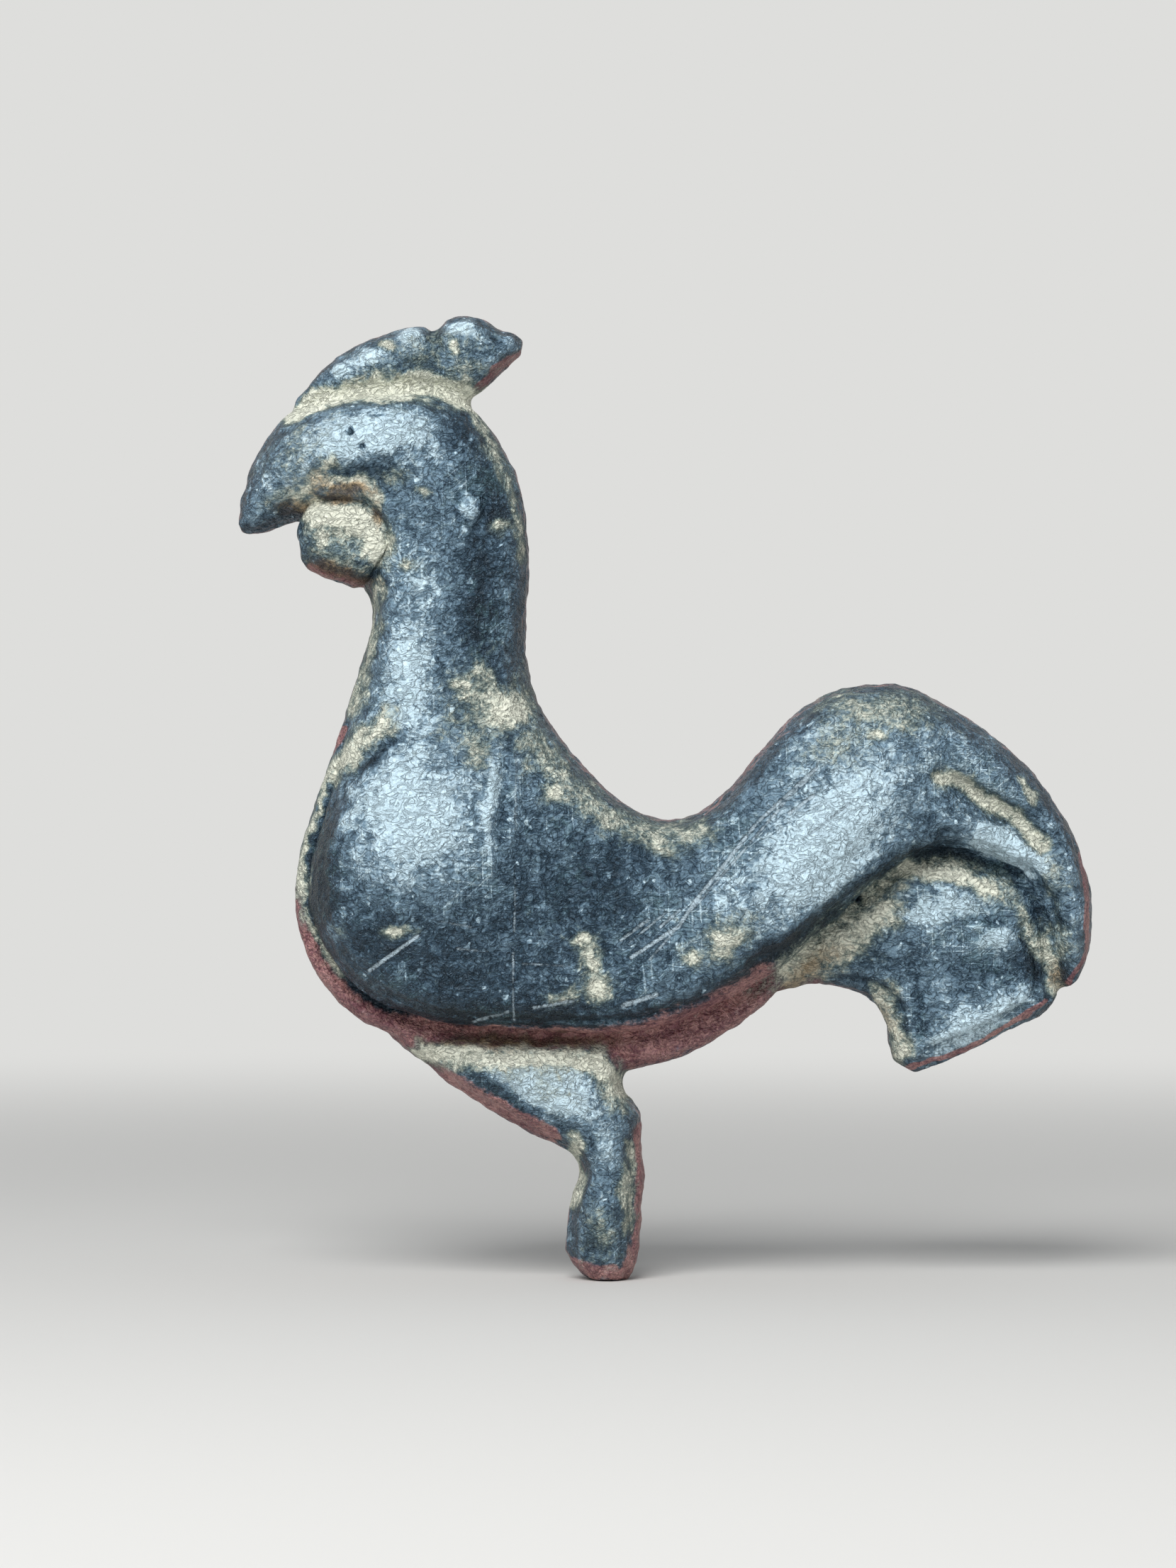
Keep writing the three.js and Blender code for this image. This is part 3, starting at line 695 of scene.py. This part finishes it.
FAR = 60  # beyond the figure on every side
COMB_CUT = [
    (-FAR, 40.2), (-14.6, 40.35), (-12.5, 41.1), (-10.5, 41.45), (-8.5, 41.5), (-6.6, 41.2), (-5.9, 40.95),
    (FAR, 40.95), (FAR, FAR), (-FAR, FAR),
]
LEG_CUT = [
    (-FAR, 11.7), (-10.2, 11.6), (-8.0, 11.3), (-4.0, 11.05), (0.0, 10.9), (1.6, 10.3), (2.4, 9.2),
    (6.0, 6.0), (6.0, -FAR), (-FAR, -FAR),
]
TAIL_CUT = [
    (7.2, 12.2), (8.6, 13.9), (9.4, 15.8), (11.4, 18.0), (13.7, 19.4), (16.5, 19.8), (18.8, 19.0),
    (20.1, 17.4), (20.8, 15.4), (21.4, 13.9), (FAR, 12.6), (FAR, 6.0), (7.2, 6.0),
]
NEAR_SIDE = [(-FAR, -FAR), (FAR, -FAR), (FAR, FAR), (-FAR, FAR)]


def prism(outline):
    """A block through the whole figure whose sides follow an outline on the flank."""
    work = bmesh.new()
    face = work.faces.new([work.verts.new((x, -FAR, z)) for x, z in outline])
    pushed = bmesh.ops.extrude_face_region(work, geom=[face])["geom"]
    verts = [item for item in pushed if isinstance(item, bmesh.types.BMVert)]
    bmesh.ops.translate(work, verts=verts, vec=(0, 2 * FAR, 0))
    bmesh.ops.triangulate(work, faces=work.faces)
    bmesh.ops.recalc_face_normals(work, faces=work.faces)
    return new_object("cutter", mesh_of("cutter", work))


def cut(made, cutter, operation, name=None):
    """The object cut by the cutter, or a cut copy of it under another name."""
    target = new_object(name, made.data) if name else made
    boolean = target.modifiers.new("cut", "BOOLEAN")
    boolean.operation = operation
    boolean.solver = "MANIFOLD"
    boolean.object = cutter
    return applied(target)


def cut_into_pieces(skin):
    """The castings of the skin by the nodes that they stand for."""
    pieces = {}
    for name, outline in (("comb", COMB_CUT), ("leg", LEG_CUT), ("lower_tail_feather", TAIL_CUT)):
        cutter = prism(outline)
        pieces[name] = cut(skin, cutter, "INTERSECT", name + "_casting")
        cut(skin, cutter, "DIFFERENCE")
        bpy.data.objects.remove(cutter)
    near_side = prism(NEAR_SIDE)
    near_side.data.transform(Matrix.Translation((0, -FAR, 0)))
    pieces["left_body_half"] = cut(skin, near_side, "INTERSECT", "left_body_half_casting")
    pieces["right_body_half"] = cut(skin, near_side, "DIFFERENCE", "right_body_half_casting")
    bpy.data.objects.remove(near_side)
    return pieces


def in_triangles(mesh):
    """Turns all faces to triangles, and drops the pairs that then lie back to back on a cut's rim."""
    work = bmesh.new()
    work.from_mesh(mesh)
    bmesh.ops.triangulate(work, faces=work.faces)
    by_corners = {}
    for face in work.faces:
        by_corners.setdefault(frozenset(face.verts), []).append(face)
    doubled = [face for faces in by_corners.values() if len(faces) > 1 for face in faces]
    bmesh.ops.delete(work, geom=doubled, context="FACES")
    work.to_mesh(mesh)
    work.free()


def finish_piece(made, node, material, sunk_at):
    """Paints a cut piece, brings it to metres and puts it in the place of its node."""
    mesh = made.data
    in_triangles(mesh)
    points = vectors(mesh.vertices, "co")
    sunk = np.array([sunk_at(point) for point in points])
    mesh.shade_smooth()
    mesh.set_sharp_from_angle(angle=math.radians(SHARP_EDGE))
    add_paint(mesh, sunk, WALL_HEIGHTS[node])
    set_points(mesh, points * MM)
    mesh.materials.clear()
    mesh.materials.append(material)
    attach(made, "root")
    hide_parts(node)


# Materials


class Socket:
    """A socket of a material's nodes, so that the maths of a material reads as Python expressions."""

    # Places of the Mix node's sockets for colours, whose names those for numbers have too
    MIX_FACTOR, MIX_FIRST, MIX_SECOND, MIX_RESULT = 0, 6, 7, 2

    def __init__(self, tree, link=None):
        self.tree = tree
        self.link = link

    def add(self, kind, settings=None, sockets=None, output=0):
        """A node with its settings and with values or links in its sockets, as the socket it gives."""
        node = self.tree.nodes.new("ShaderNode" + kind)
        for name, value in (settings or {}).items():
            setattr(node, name, value)
        for name, value in (sockets or {}).items():
            if isinstance(value, Socket):
                self.tree.links.new(value.link, node.inputs[name])
            else:
                node.inputs[name].default_value = value
        return Socket(self.tree, node.outputs[output])

    def math(self, operation, *values):
        return self.add("Math", {"operation": operation}, dict(enumerate(values)))

    def vector(self, operation, *values, output="Vector", **named):
        return self.add("VectorMath", {"operation": operation}, {**dict(enumerate(values)), **named}, output)

    def __add__(self, other):
        return self.math("ADD", self, other)

    def __sub__(self, other):
        return self.math("SUBTRACT", self, other)

    def __rsub__(self, other):
        return self.math("SUBTRACT", other, self)

    def __mul__(self, other):
        return self.math("MULTIPLY", self, other)

    __radd__ = __add__

    def step(self, low, high):
        """0 below low and 1 above high, smooth between them."""
        ends = {"Value": self, "From Min": low, "From Max": high}
        return self.add("MapRange", {"interpolation_type": "SMOOTHSTEP"}, ends)

    def blend(self, first, second):
        """The first colour where this is 0 and the second where it is 1."""
        sockets = {self.MIX_FACTOR: self, self.MIX_FIRST: first, self.MIX_SECOND: second}
        return self.add("Mix", {"data_type": "RGBA"}, sockets, self.MIX_RESULT)

    def clouds(self, size, detail, distortion=0.0, output="Fac"):
        """Random clouds of a size in millimetres on these coordinates, most of them near 0.5."""
        sockets = {"Vector": self, "Scale": 1 / size, "Detail": detail, "Distortion": distortion}
        return self.add("TexNoise", None, sockets, output)

    def stretched(self, sizes, turn=0):
        """These coordinates for a pattern of three sizes, turned about y by some degrees."""
        sockets = {"Vector": self, "Rotation": (0, math.radians(turn), 0), "Scale": sizes}
        return self.add("Mapping", {"vector_type": "TEXTURE"}, sockets)


def linear(part):
    """The shader's value for a picture value from 0 to 1."""
    return part / 12.92 if part <= 0.04045 else ((part + 0.055) / 1.055) ** 2.4


def colour(red, green, blue):
    """A colour given by its 0 to 255 picture values."""
    return (linear(red / 255), linear(green / 255), linear(blue / 255), 1)


DARK = colour(19, 31, 43)
DENT = colour(28, 44, 54)
SLATE = colour(58, 80, 98)
MIST = colour(120, 147, 166)
# the palest tone, which the painted highlights reach
PALE = colour(216, 242, 255)
CREAM = colour(248, 249, 230)
SAND = colour(168, 180, 162)
OCHRE = colour(180, 142, 90)
BROWN = colour(94, 68, 48)
LICHEN = colour(112, 130, 128)
BLOOM = colour(200, 214, 210)
VERDIGRIS = colour(76, 108, 108)
# colours of the reddish sides: bare metal with a painted red reflection
ROSE = colour(202, 148, 140)
MAROON = colour(132, 80, 86)
SCRATCHED = colour(190, 210, 222)
FLOOR = colour(214, 213, 210)
EVEN_FLOOR = colour(222, 222, 220)

CLOUD_MIDDLE = 0.5

# Clouds about 0: size, detail, distortion
CLOUDS = {
    "broad": (3.2, 3, 0),
    "blotches": (0.95, 4, 0.8),
    "patches": (0.7, 3, 0.5),
    "grain": (0.36, 4, 0.6),
    "crinkle": (0.24, 4, 1.5),
    "fine": (0.12, 2, 0),
}

# Clouds with an edge: size, detail, distortion, where they start and where they are full
SPOTS = {
    "specks": (0.45, 1, 0, 0.19, 0.25),
    "smudges": (0.8, 5, 0.6, 0.04, 0.25),
    "brittle": (1.4, 2, 0, -0.25, 0.1),
    "unbroken": (0.25, 4, 0, -0.4, 0.08),
}

# Hairlines in the film: the turn of each kind and how long it is
HAIRS = [(3, 2.4), (87, 2.0), (-43, 3.2)]
HAIR_WIDTH = 0.1
HAIR_EDGE = (0.6, 0.7)
HAIRY_EDGE = (-0.1, 0.15)  # where the broad clouds start to have them, and have them in full

# Wrinkles run where stretched clouds cross their middle
WRINKLE_SIZES = (0.65, 0.5, 0.42)
WRINKLE_DISTORTION = 1.2
WRINKLE_EDGE = (0.06, 0.0)

# A net of cracks between small cells whose places are shaken
CELL_SIZE = 0.36
SHAKE_SIZE = 0.7  # of the clouds that shift the cells
SHAKE = 0.9  # how far they shift them
CRACK_EDGE = (0.14, 0.0)
CELL_DOME = (0.0, 0.4)

# The patina's tone, with its painted highlights and shade, by shares of the patterns, and where each paler
# tone starts and is full
TONE = {
    "film_and_painted_light": 1,
    "grain": 0.65,
    "crinkle": 0.4,
    "fine": 0.4,
    "broad": 0.4,
    # darker in the hollows, partly as painted shade, and paler on the ridges
    "sunk": -0.4,
    "hairs": 0.32,
    "specks": 0.45,
    "smudges": 0.26,
    "wrinkles": -0.1,
}
FILM_CALM = 0.45  # how much of the blotches full film takes away
TONES = [(-0.1, 0.45, SLATE), (0.3, 0.72, MIST), (0.65, 1.05, PALE)]
GREEN_EDGE = (0.0, 0.35)
GREEN_COVER = 0.35

# The reddish sides, bare metal with a painted reflection of red cloth, and how their colour turns from maroon
# to rose
BARE_AND_RED_REFLECTION = {"wall": 1.15, "blotches": 0.9, "grain": 1, "crinkle": 0.4, "fine": 0.3}
BARE_AND_RED_REFLECTION_EDGE = (0.3, 0.9)
BARE_AND_RED_REFLECTION_COVER = 0.9
REDNESS = {"broad": 1, "blotches": 0.8, "grain": 0.9, "fine": 1.2}
REDNESS_EDGE = (-0.35, 0.4)

# Deposits: how much of the mottle each takes, where it starts and where it is full
MOTTLE = {"patches": 1.1, "grain": 1.15, "crinkle": 0.9, "fine": 0.7}
SOIL = {"cream": 1.25, "sunk": 0.15}
RUST_LAYER = (0.5, 0.2, 1.0)
HAZE_LAYER = (0.6, 0.1, 0.8)
CRUST_LAYER = (1.0, 0.35, 1.25)
CREAM_LAYER = (1.1, 0.45, 1.35)
RUST_COVER = 0.75
HAZE_COVER = 0.6
HAZE_OFF_RUST = 0.4
CRUST_COVER = 0.92
BLOOM_EDGE = (0.45, 1.05)  # of the tone under the haze

# Cracks and wrinkles in the patina, darkened partly as painted shade in their small hollows, fainter on the
# reddish sides
DENT_COVER = 0.32
DENT_OFF_BARE_AND_RED_REFLECTION = 0.22

# Scratches on the left flank: ends, half width and how bright
SCRATCHES = [
    ((-3.9, 24.6), (-3.95, 21.0), 0.045, 0.5),
    ((-3.95, 19.6), (-4.02, 16.4), 0.045, 0.65),
    ((-4.05, 15.4), (-4.03, 12.3), 0.05, 0.85),
    ((-10.64, 14.6), (-8.42, 16.2), 0.065, 0.95),
    ((1.36, 15.2), (3.5, 16.6), 0.06, 1),
    ((3.5, 16.6), (4.4, 17.9), 0.065, 1),
    ((4.4, 17.9), (7.15, 21.4), 0.06, 1),
    ((7.15, 21.4), (9.9, 23.9), 0.058, 0.97),
    ((2.2, 15.1), (5.2, 18.6), 0.046, 0.72),
    ((5.2, 18.6), (8.4, 22.3), 0.046, 0.87),
    ((8.6, 21.8), (9.7, 22.6), 0.052, 0.97),
    ((8.2, 22.2), (9.4, 23.3), 0.052, 0.87),
    ((0.9, 16.0), (2.1, 16.9), 0.058, 0.92),
    ((1.3, 15.9), (3.0, 17.3), 0.046, 0.77),
    ((2.7, 16.6), (3.6, 17.4), 0.052, 0.82),
    ((1.0, 13.0), (2.5, 13.5), 0.078, 0.87),
    ((-3.6, 14.9), (-1.5, 14.8), 0.045, 0.65),
    ((-5.9, 12.2), (-4.3, 12.7), 0.065, 0.82),
    ((-3.1, 12.9), (-1.3, 13.2), 0.065, 0.77),
    ((-7.4, 16.9), (-6.0, 16.6), 0.05, 0.6),
    ((-6.6, 15.6), (-5.2, 15.5), 0.052, 0.62),
    ((9.2, 20.6), (11.4, 22.3), 0.046, 0.67),
]
SCRATCH_EDGE = (3, 0.4)  # how many half widths from its middle a scratch ends, and is full
SCRATCH_SIDE = (-1.5, -2.5)  # y where scratches start, and are full
WOBBLE_SIZE = 1.2  # of the clouds that shift the scratches
WOBBLE = 0.12  # how far they shift them
SCRATCH_SHADE = (0.05, 0.35, 0.45)  # the painted shade along a scratch's edges: where it starts, is full, and its cover
SHINE = (0.25, 0.8, 0.85)  # its bright middle, in the same form

# Gloss and bump, by shares of the patterns and layers
ROUGHNESS = {"fine": 0.3, "haze": 0.2, "crust": 0.15, "bare_and_red_reflection": 0.15, "rust": 0.1}
LEAST_ROUGHNESS = 0.3
BUMPS = {
    "cells": 0.5,
    "blotches": 0.5,
    "grain": 0.8,
    "crinkle": 0.6,
    "crust": 0.25,
    "scratch": -0.4,
    "wrinkles": -0.4,
}
BUMP_DEPTH = 0.16
GLOSS = 1.47  # index of refraction
GLOSS_TINT = (0.7, 0.88, 1.0, 1)
FLOOR_ROUGHNESS = 0.9


def mixed(surface, shares):
    """The sum of some patterns or layers of the surface, each times its share."""
    return sum(surface[name] * share for name, share in shares.items())


def patterns(place):
    """The random patterns of the surface and the attributes of its points, by name."""
    surface = {name: place.clouds(*cloud) - CLOUD_MIDDLE for name, cloud in CLOUDS.items()}
    for name, (size, detail, distortion, start, full) in SPOTS.items():
        surface[name] = (place.clouds(size, detail, distortion) - CLOUD_MIDDLE).step(start, full)
    for name in ("film_and_painted_light", "cream", "ochre", "wall", "sunk"):
        surface[name] = place.add("Attribute", {"attribute_name": name}, output="Fac")
    surface["hairs"] = hairs(place) * surface["broad"].step(*HAIRY_EDGE)
    wavy = place.stretched(WRINKLE_SIZES).clouds(1, detail=3, distortion=WRINKLE_DISTORTION) - CLOUD_MIDDLE
    surface["wrinkles"] = wavy.math("ABSOLUTE", wavy).step(*WRINKLE_EDGE)
    shake = place.vector("SCALE", place.clouds(SHAKE_SIZE, detail=3, output="Color"), Scale=SHAKE)
    shaken = {"Vector": place.vector("ADD", shake, place), "Scale": 1 / CELL_SIZE}
    cells = place.add("TexVoronoi", {"feature": "DISTANCE_TO_EDGE"}, shaken)
    surface["cells"] = cells.step(*CELL_DOME)
    surface["crackle"] = cells.step(*CRACK_EDGE) * surface["brittle"]
    return surface


def hairs(place):
    """Thin stretched clouds along a few directions."""
    kinds = [place.stretched((length, 1, HAIR_WIDTH), turn) for turn, length in HAIRS]
    return sum(kind.clouds(1, detail=2).step(*HAIR_EDGE) for kind in kinds)


def toned(surface):
    """The patina's colour, paler the more film lies on it and under the painted highlights, darker under the
    painted shade.
    """
    tone = mixed(surface, TONE) + surface["blotches"] * (1 - surface["film_and_painted_light"] * FILM_CALM)
    base = DARK
    for start, full, paler in TONES:
        base = tone.step(start, full).blend(base, paler)
    surface["tone"] = tone
    green = (surface["broad"] + surface["grain"]).step(*GREEN_EDGE)
    return (green * GREEN_COVER).blend(base, VERDIGRIS)


def bared_with_red_reflection(surface, base):
    """Lays the reddish sides over the patina: bare metal with a painted reflection of red cloth."""
    surface["bare_and_red_reflection"] = mixed(surface, BARE_AND_RED_REFLECTION).step(*BARE_AND_RED_REFLECTION_EDGE)
    red = mixed(surface, REDNESS).step(*REDNESS_EDGE).blend(MAROON, ROSE)
    return (surface["bare_and_red_reflection"] * BARE_AND_RED_REFLECTION_COVER).blend(base, red)


def soiled(surface, base, creamy):
    """Lays the ochre and cream deposits on, with a thin haze around the cream."""
    mottle = mixed(surface, MOTTLE)
    soil = mixed(surface, SOIL) + creamy

    def layer(amount, share, start, full):
        return (amount + mottle * share).step(start, full)

    rust = layer(surface["ochre"], *RUST_LAYER)
    haze = layer(soil, *HAZE_LAYER)
    crust = layer(soil, *CRUST_LAYER)
    base = (rust * RUST_COVER).blend(base, BROWN)
    bloom = surface["tone"].step(*BLOOM_EDGE).blend(LICHEN, BLOOM)
    base = (haze * (HAZE_COVER - rust * HAZE_OFF_RUST)).blend(base, bloom)
    cream = layer(soil, *CREAM_LAYER).blend(SAND, CREAM)
    cream = (rust * RUST_COVER).blend(cream, OCHRE)
    surface.update(rust=rust, haze=haze, crust=crust)
    return (crust * CRUST_COVER).blend(base, cream)


def dented(surface, base):
    """Darkens the cracks and wrinkles, partly as painted shade in their small hollows."""
    dents = surface["crackle"].math("MAXIMUM", surface["crackle"], surface["wrinkles"])
    return (dents * (DENT_COVER - surface["bare_and_red_reflection"] * DENT_OFF_BARE_AND_RED_REFLECTION)).blend(base, DENT)


def scratch_lines(flat):
    """How much of a scratch there is at each place: flat has the coordinates with y taken out."""
    ends, full = SCRATCH_EDGE
    lines = []
    for (ax, az), (bx, bz), half_width, bright in SCRATCHES:
        a = Vector((ax, 0, az))
        way = Vector((bx, 0, bz)) - a
        offset = flat.vector("SUBTRACT", flat, a)
        along = flat.vector("DOT_PRODUCT", offset, way / way.length_squared, output="Value")
        foot = flat.vector("SCALE", way, Scale=along.add("Clamp", None, {"Value": along}))
        away = flat.vector("DISTANCE", offset, foot, output="Value")
        lines.append(away.step(half_width * ends, half_width * full) * bright)
    deepest = lines[0]
    for line in lines[1:]:
        deepest = deepest.math("MAXIMUM", deepest, line)
    return deepest


def scratched(surface, base, place):
    """Draws the scratches of the left flank, bright, with painted shade along their edges."""
    wobble = place.vector("SCALE", place.clouds(WOBBLE_SIZE, detail=2), Scale=WOBBLE)
    flat = place.vector("ADD", place.vector("MULTIPLY", place, (1, 0, 1)), wobble)
    y = place.add("SeparateXYZ", None, {"Vector": place}, "Y")
    surface["scratch"] = scratch_lines(flat) * (y.step(*SCRATCH_SIDE) * surface["unbroken"])
    # the first is painted shade along the scratch's edges
    for (start, full, cover), tint in ((SCRATCH_SHADE, DARK), (SHINE, SCRATCHED)):
        base = (surface["scratch"].step(start, full) * cover).blend(base, tint)
    return base


def new_material(name):
    """A material, its node tree and its main shader."""
    material = bpy.data.materials.new(name)
    material.use_nodes = True
    return material, material.node_tree, material.node_tree.nodes["Principled BSDF"]


def patina(name, creamy):
    """Worn dark patina with pale film and painted highlights and shade, cream and ochre deposits in the
    hollows, and reddish walls of bare metal with a painted red reflection.
    """
    material, tree, shader = new_material(name)
    metres = Socket(tree).add("TexCoord", output="Object")
    place = metres.vector("SCALE", metres, Scale=1 / MM)
    surface = patterns(place)
    base = bared_with_red_reflection(surface, toned(surface))
    base = soiled(surface, base, creamy)
    base = dented(surface, base)
    base = scratched(surface, base, place)
    rough = mixed(surface, ROUGHNESS) + LEAST_ROUGHNESS
    bumps = {"Height": mixed(surface, BUMPS), "Distance": BUMP_DEPTH * MM, "Strength": 1.0}
    bump = place.add("Bump", None, bumps)
    tree.links.new(base.link, shader.inputs["Base Color"])
    tree.links.new(rough.link, shader.inputs["Roughness"])
    tree.links.new(bump.link, shader.inputs["Normal"])
    shader.inputs["IOR"].default_value = GLOSS
    shader.inputs["Specular Tint"].default_value = GLOSS_TINT
    return material


def backdrop():
    """A pale floor that is seen in an even pale colour away from the figure, without lighting it more."""
    material, tree, shader = new_material("backdrop")
    shader.inputs["Base Color"].default_value = FLOOR
    shader.inputs["Roughness"].default_value = FLOOR_ROUGHNESS
    nodes = Socket(tree)
    rays = ("Is Camera Ray", "Is Glossy Ray", "Is Transmission Ray")
    seen = sum(nodes.add("LightPath", output=ray) for ray in rays)
    place = nodes.add("TexCoord", output="Object")
    away = place.vector("LENGTH", place, output="Value").step(*(reach * MM for reach in EVEN_FROM))
    even = nodes.add("Emission", None, {"Color": EVEN_FLOOR})
    # Its sockets 1 and 2, the shaders that it mixes, have the same name
    both = nodes.add("MixShader", None, {0: seen.math("MINIMUM", seen, 1) * away, 2: even})
    tree.links.new(shader.outputs["BSDF"], both.link.node.inputs[1])
    tree.links.new(both.link, tree.nodes["Material Output"].inputs["Surface"])
    return material


# The record's finishes, and how much more cream each has all over
FINISHES = {"dark_patina": 0.0, "worn_patina": 0.0, "earthy_patina": 0.1}


def make_rooster():
    skin = worked_skin()
    sunk_at = hollows_of(skin)
    pieces = cut_into_pieces(skin)
    bpy.data.objects.remove(skin)
    depths = dict.fromkeys(pieces, sunk_at)
    for node in ("left_wattle", "right_wattle"):
        pieces[node] = wattle(frame["nodes"][node], node + "_casting")
        depths[node] = not_sunk
    materials = {name: patina(name, creamy) for name, creamy in FINISHES.items()}
    slots = {row["node"]: row["material_slot"] for row in frame["record"]["subparts"]}
    for node, made in pieces.items():
        finish_piece(made, node, materials[slots[node]], depths[node])


def make_floor():
    """A pale floor that turns up into a wall all round."""
    profile = [(0, 0)]
    for part in range(BEND_STEPS + 1):
        turn = math.pi / 2 * part / BEND_STEPS
        profile.append((FLOOR_REACH + math.sin(turn) * BEND, (1 - math.cos(turn)) * BEND))
    profile.append((FLOOR_REACH + BEND, WALL_TOP))
    work = bmesh.new()
    verts = [work.verts.new((out * MM, 0, up * MM)) for out, up in profile]
    edges = [work.edges.new(pair) for pair in zip(verts, verts[1:])]
    round_z = {"axis": (0, 0, 1), "cent": (0, 0, 0), "angle": 2 * math.pi, "steps": FLOOR_SIDES}
    bmesh.ops.spin(work, geom=verts + edges, use_merge=True, **round_z)
    bmesh.ops.remove_doubles(work, verts=work.verts, dist=SAME_PLACE)
    bmesh.ops.recalc_face_normals(work, faces=work.faces)
    bmesh.ops.reverse_faces(work, faces=work.faces)
    floor = new_object("floor", mesh_of("floor", work))
    floor.data.shade_smooth()
    floor.data.materials.append(backdrop())


def make_light():
    """An even pale sky, and one large soft lamp that faces the figure."""
    world = bpy.data.worlds.new("world")
    bpy.context.scene.world = world
    world.use_nodes = True
    sky = world.node_tree.nodes["Background"]
    sky.inputs["Color"].default_value = SKY
    sky.inputs["Strength"].default_value = SKY_STRENGTH
    lamp = bpy.data.lights.new("key", "AREA")
    lamp.shape = "SQUARE"
    lamp.size = LAMP_SIZE * MM
    lamp.energy = LAMP_RADIANCE * math.pi * (LAMP_SIZE * MM) ** 2
    made = new_object("key", lamp)
    made.location = LAMP_PLACE * MM
    made.rotation_euler = (AIM - LAMP_PLACE).to_track_quat("-Z", "Y").to_euler()


def make_camera():
    made = new_object("camera", bpy.data.cameras.new("camera"))
    made.location = (AIM + Vector((0, -CAMERA_DISTANCE, 0))) * MM
    made.rotation_euler = (math.pi / 2, 0, 0)
    made.data.sensor_fit = "VERTICAL"
    made.data.sensor_height = SENSOR
    made.data.lens = SENSOR * CAMERA_DISTANCE / PICTURE_HEIGHT
    made.data.clip_start = MM
    bpy.context.scene.camera = made


make_rooster()
make_floor()
make_light()
make_camera()
bpy.context.scene.view_settings.view_transform = "Standard"
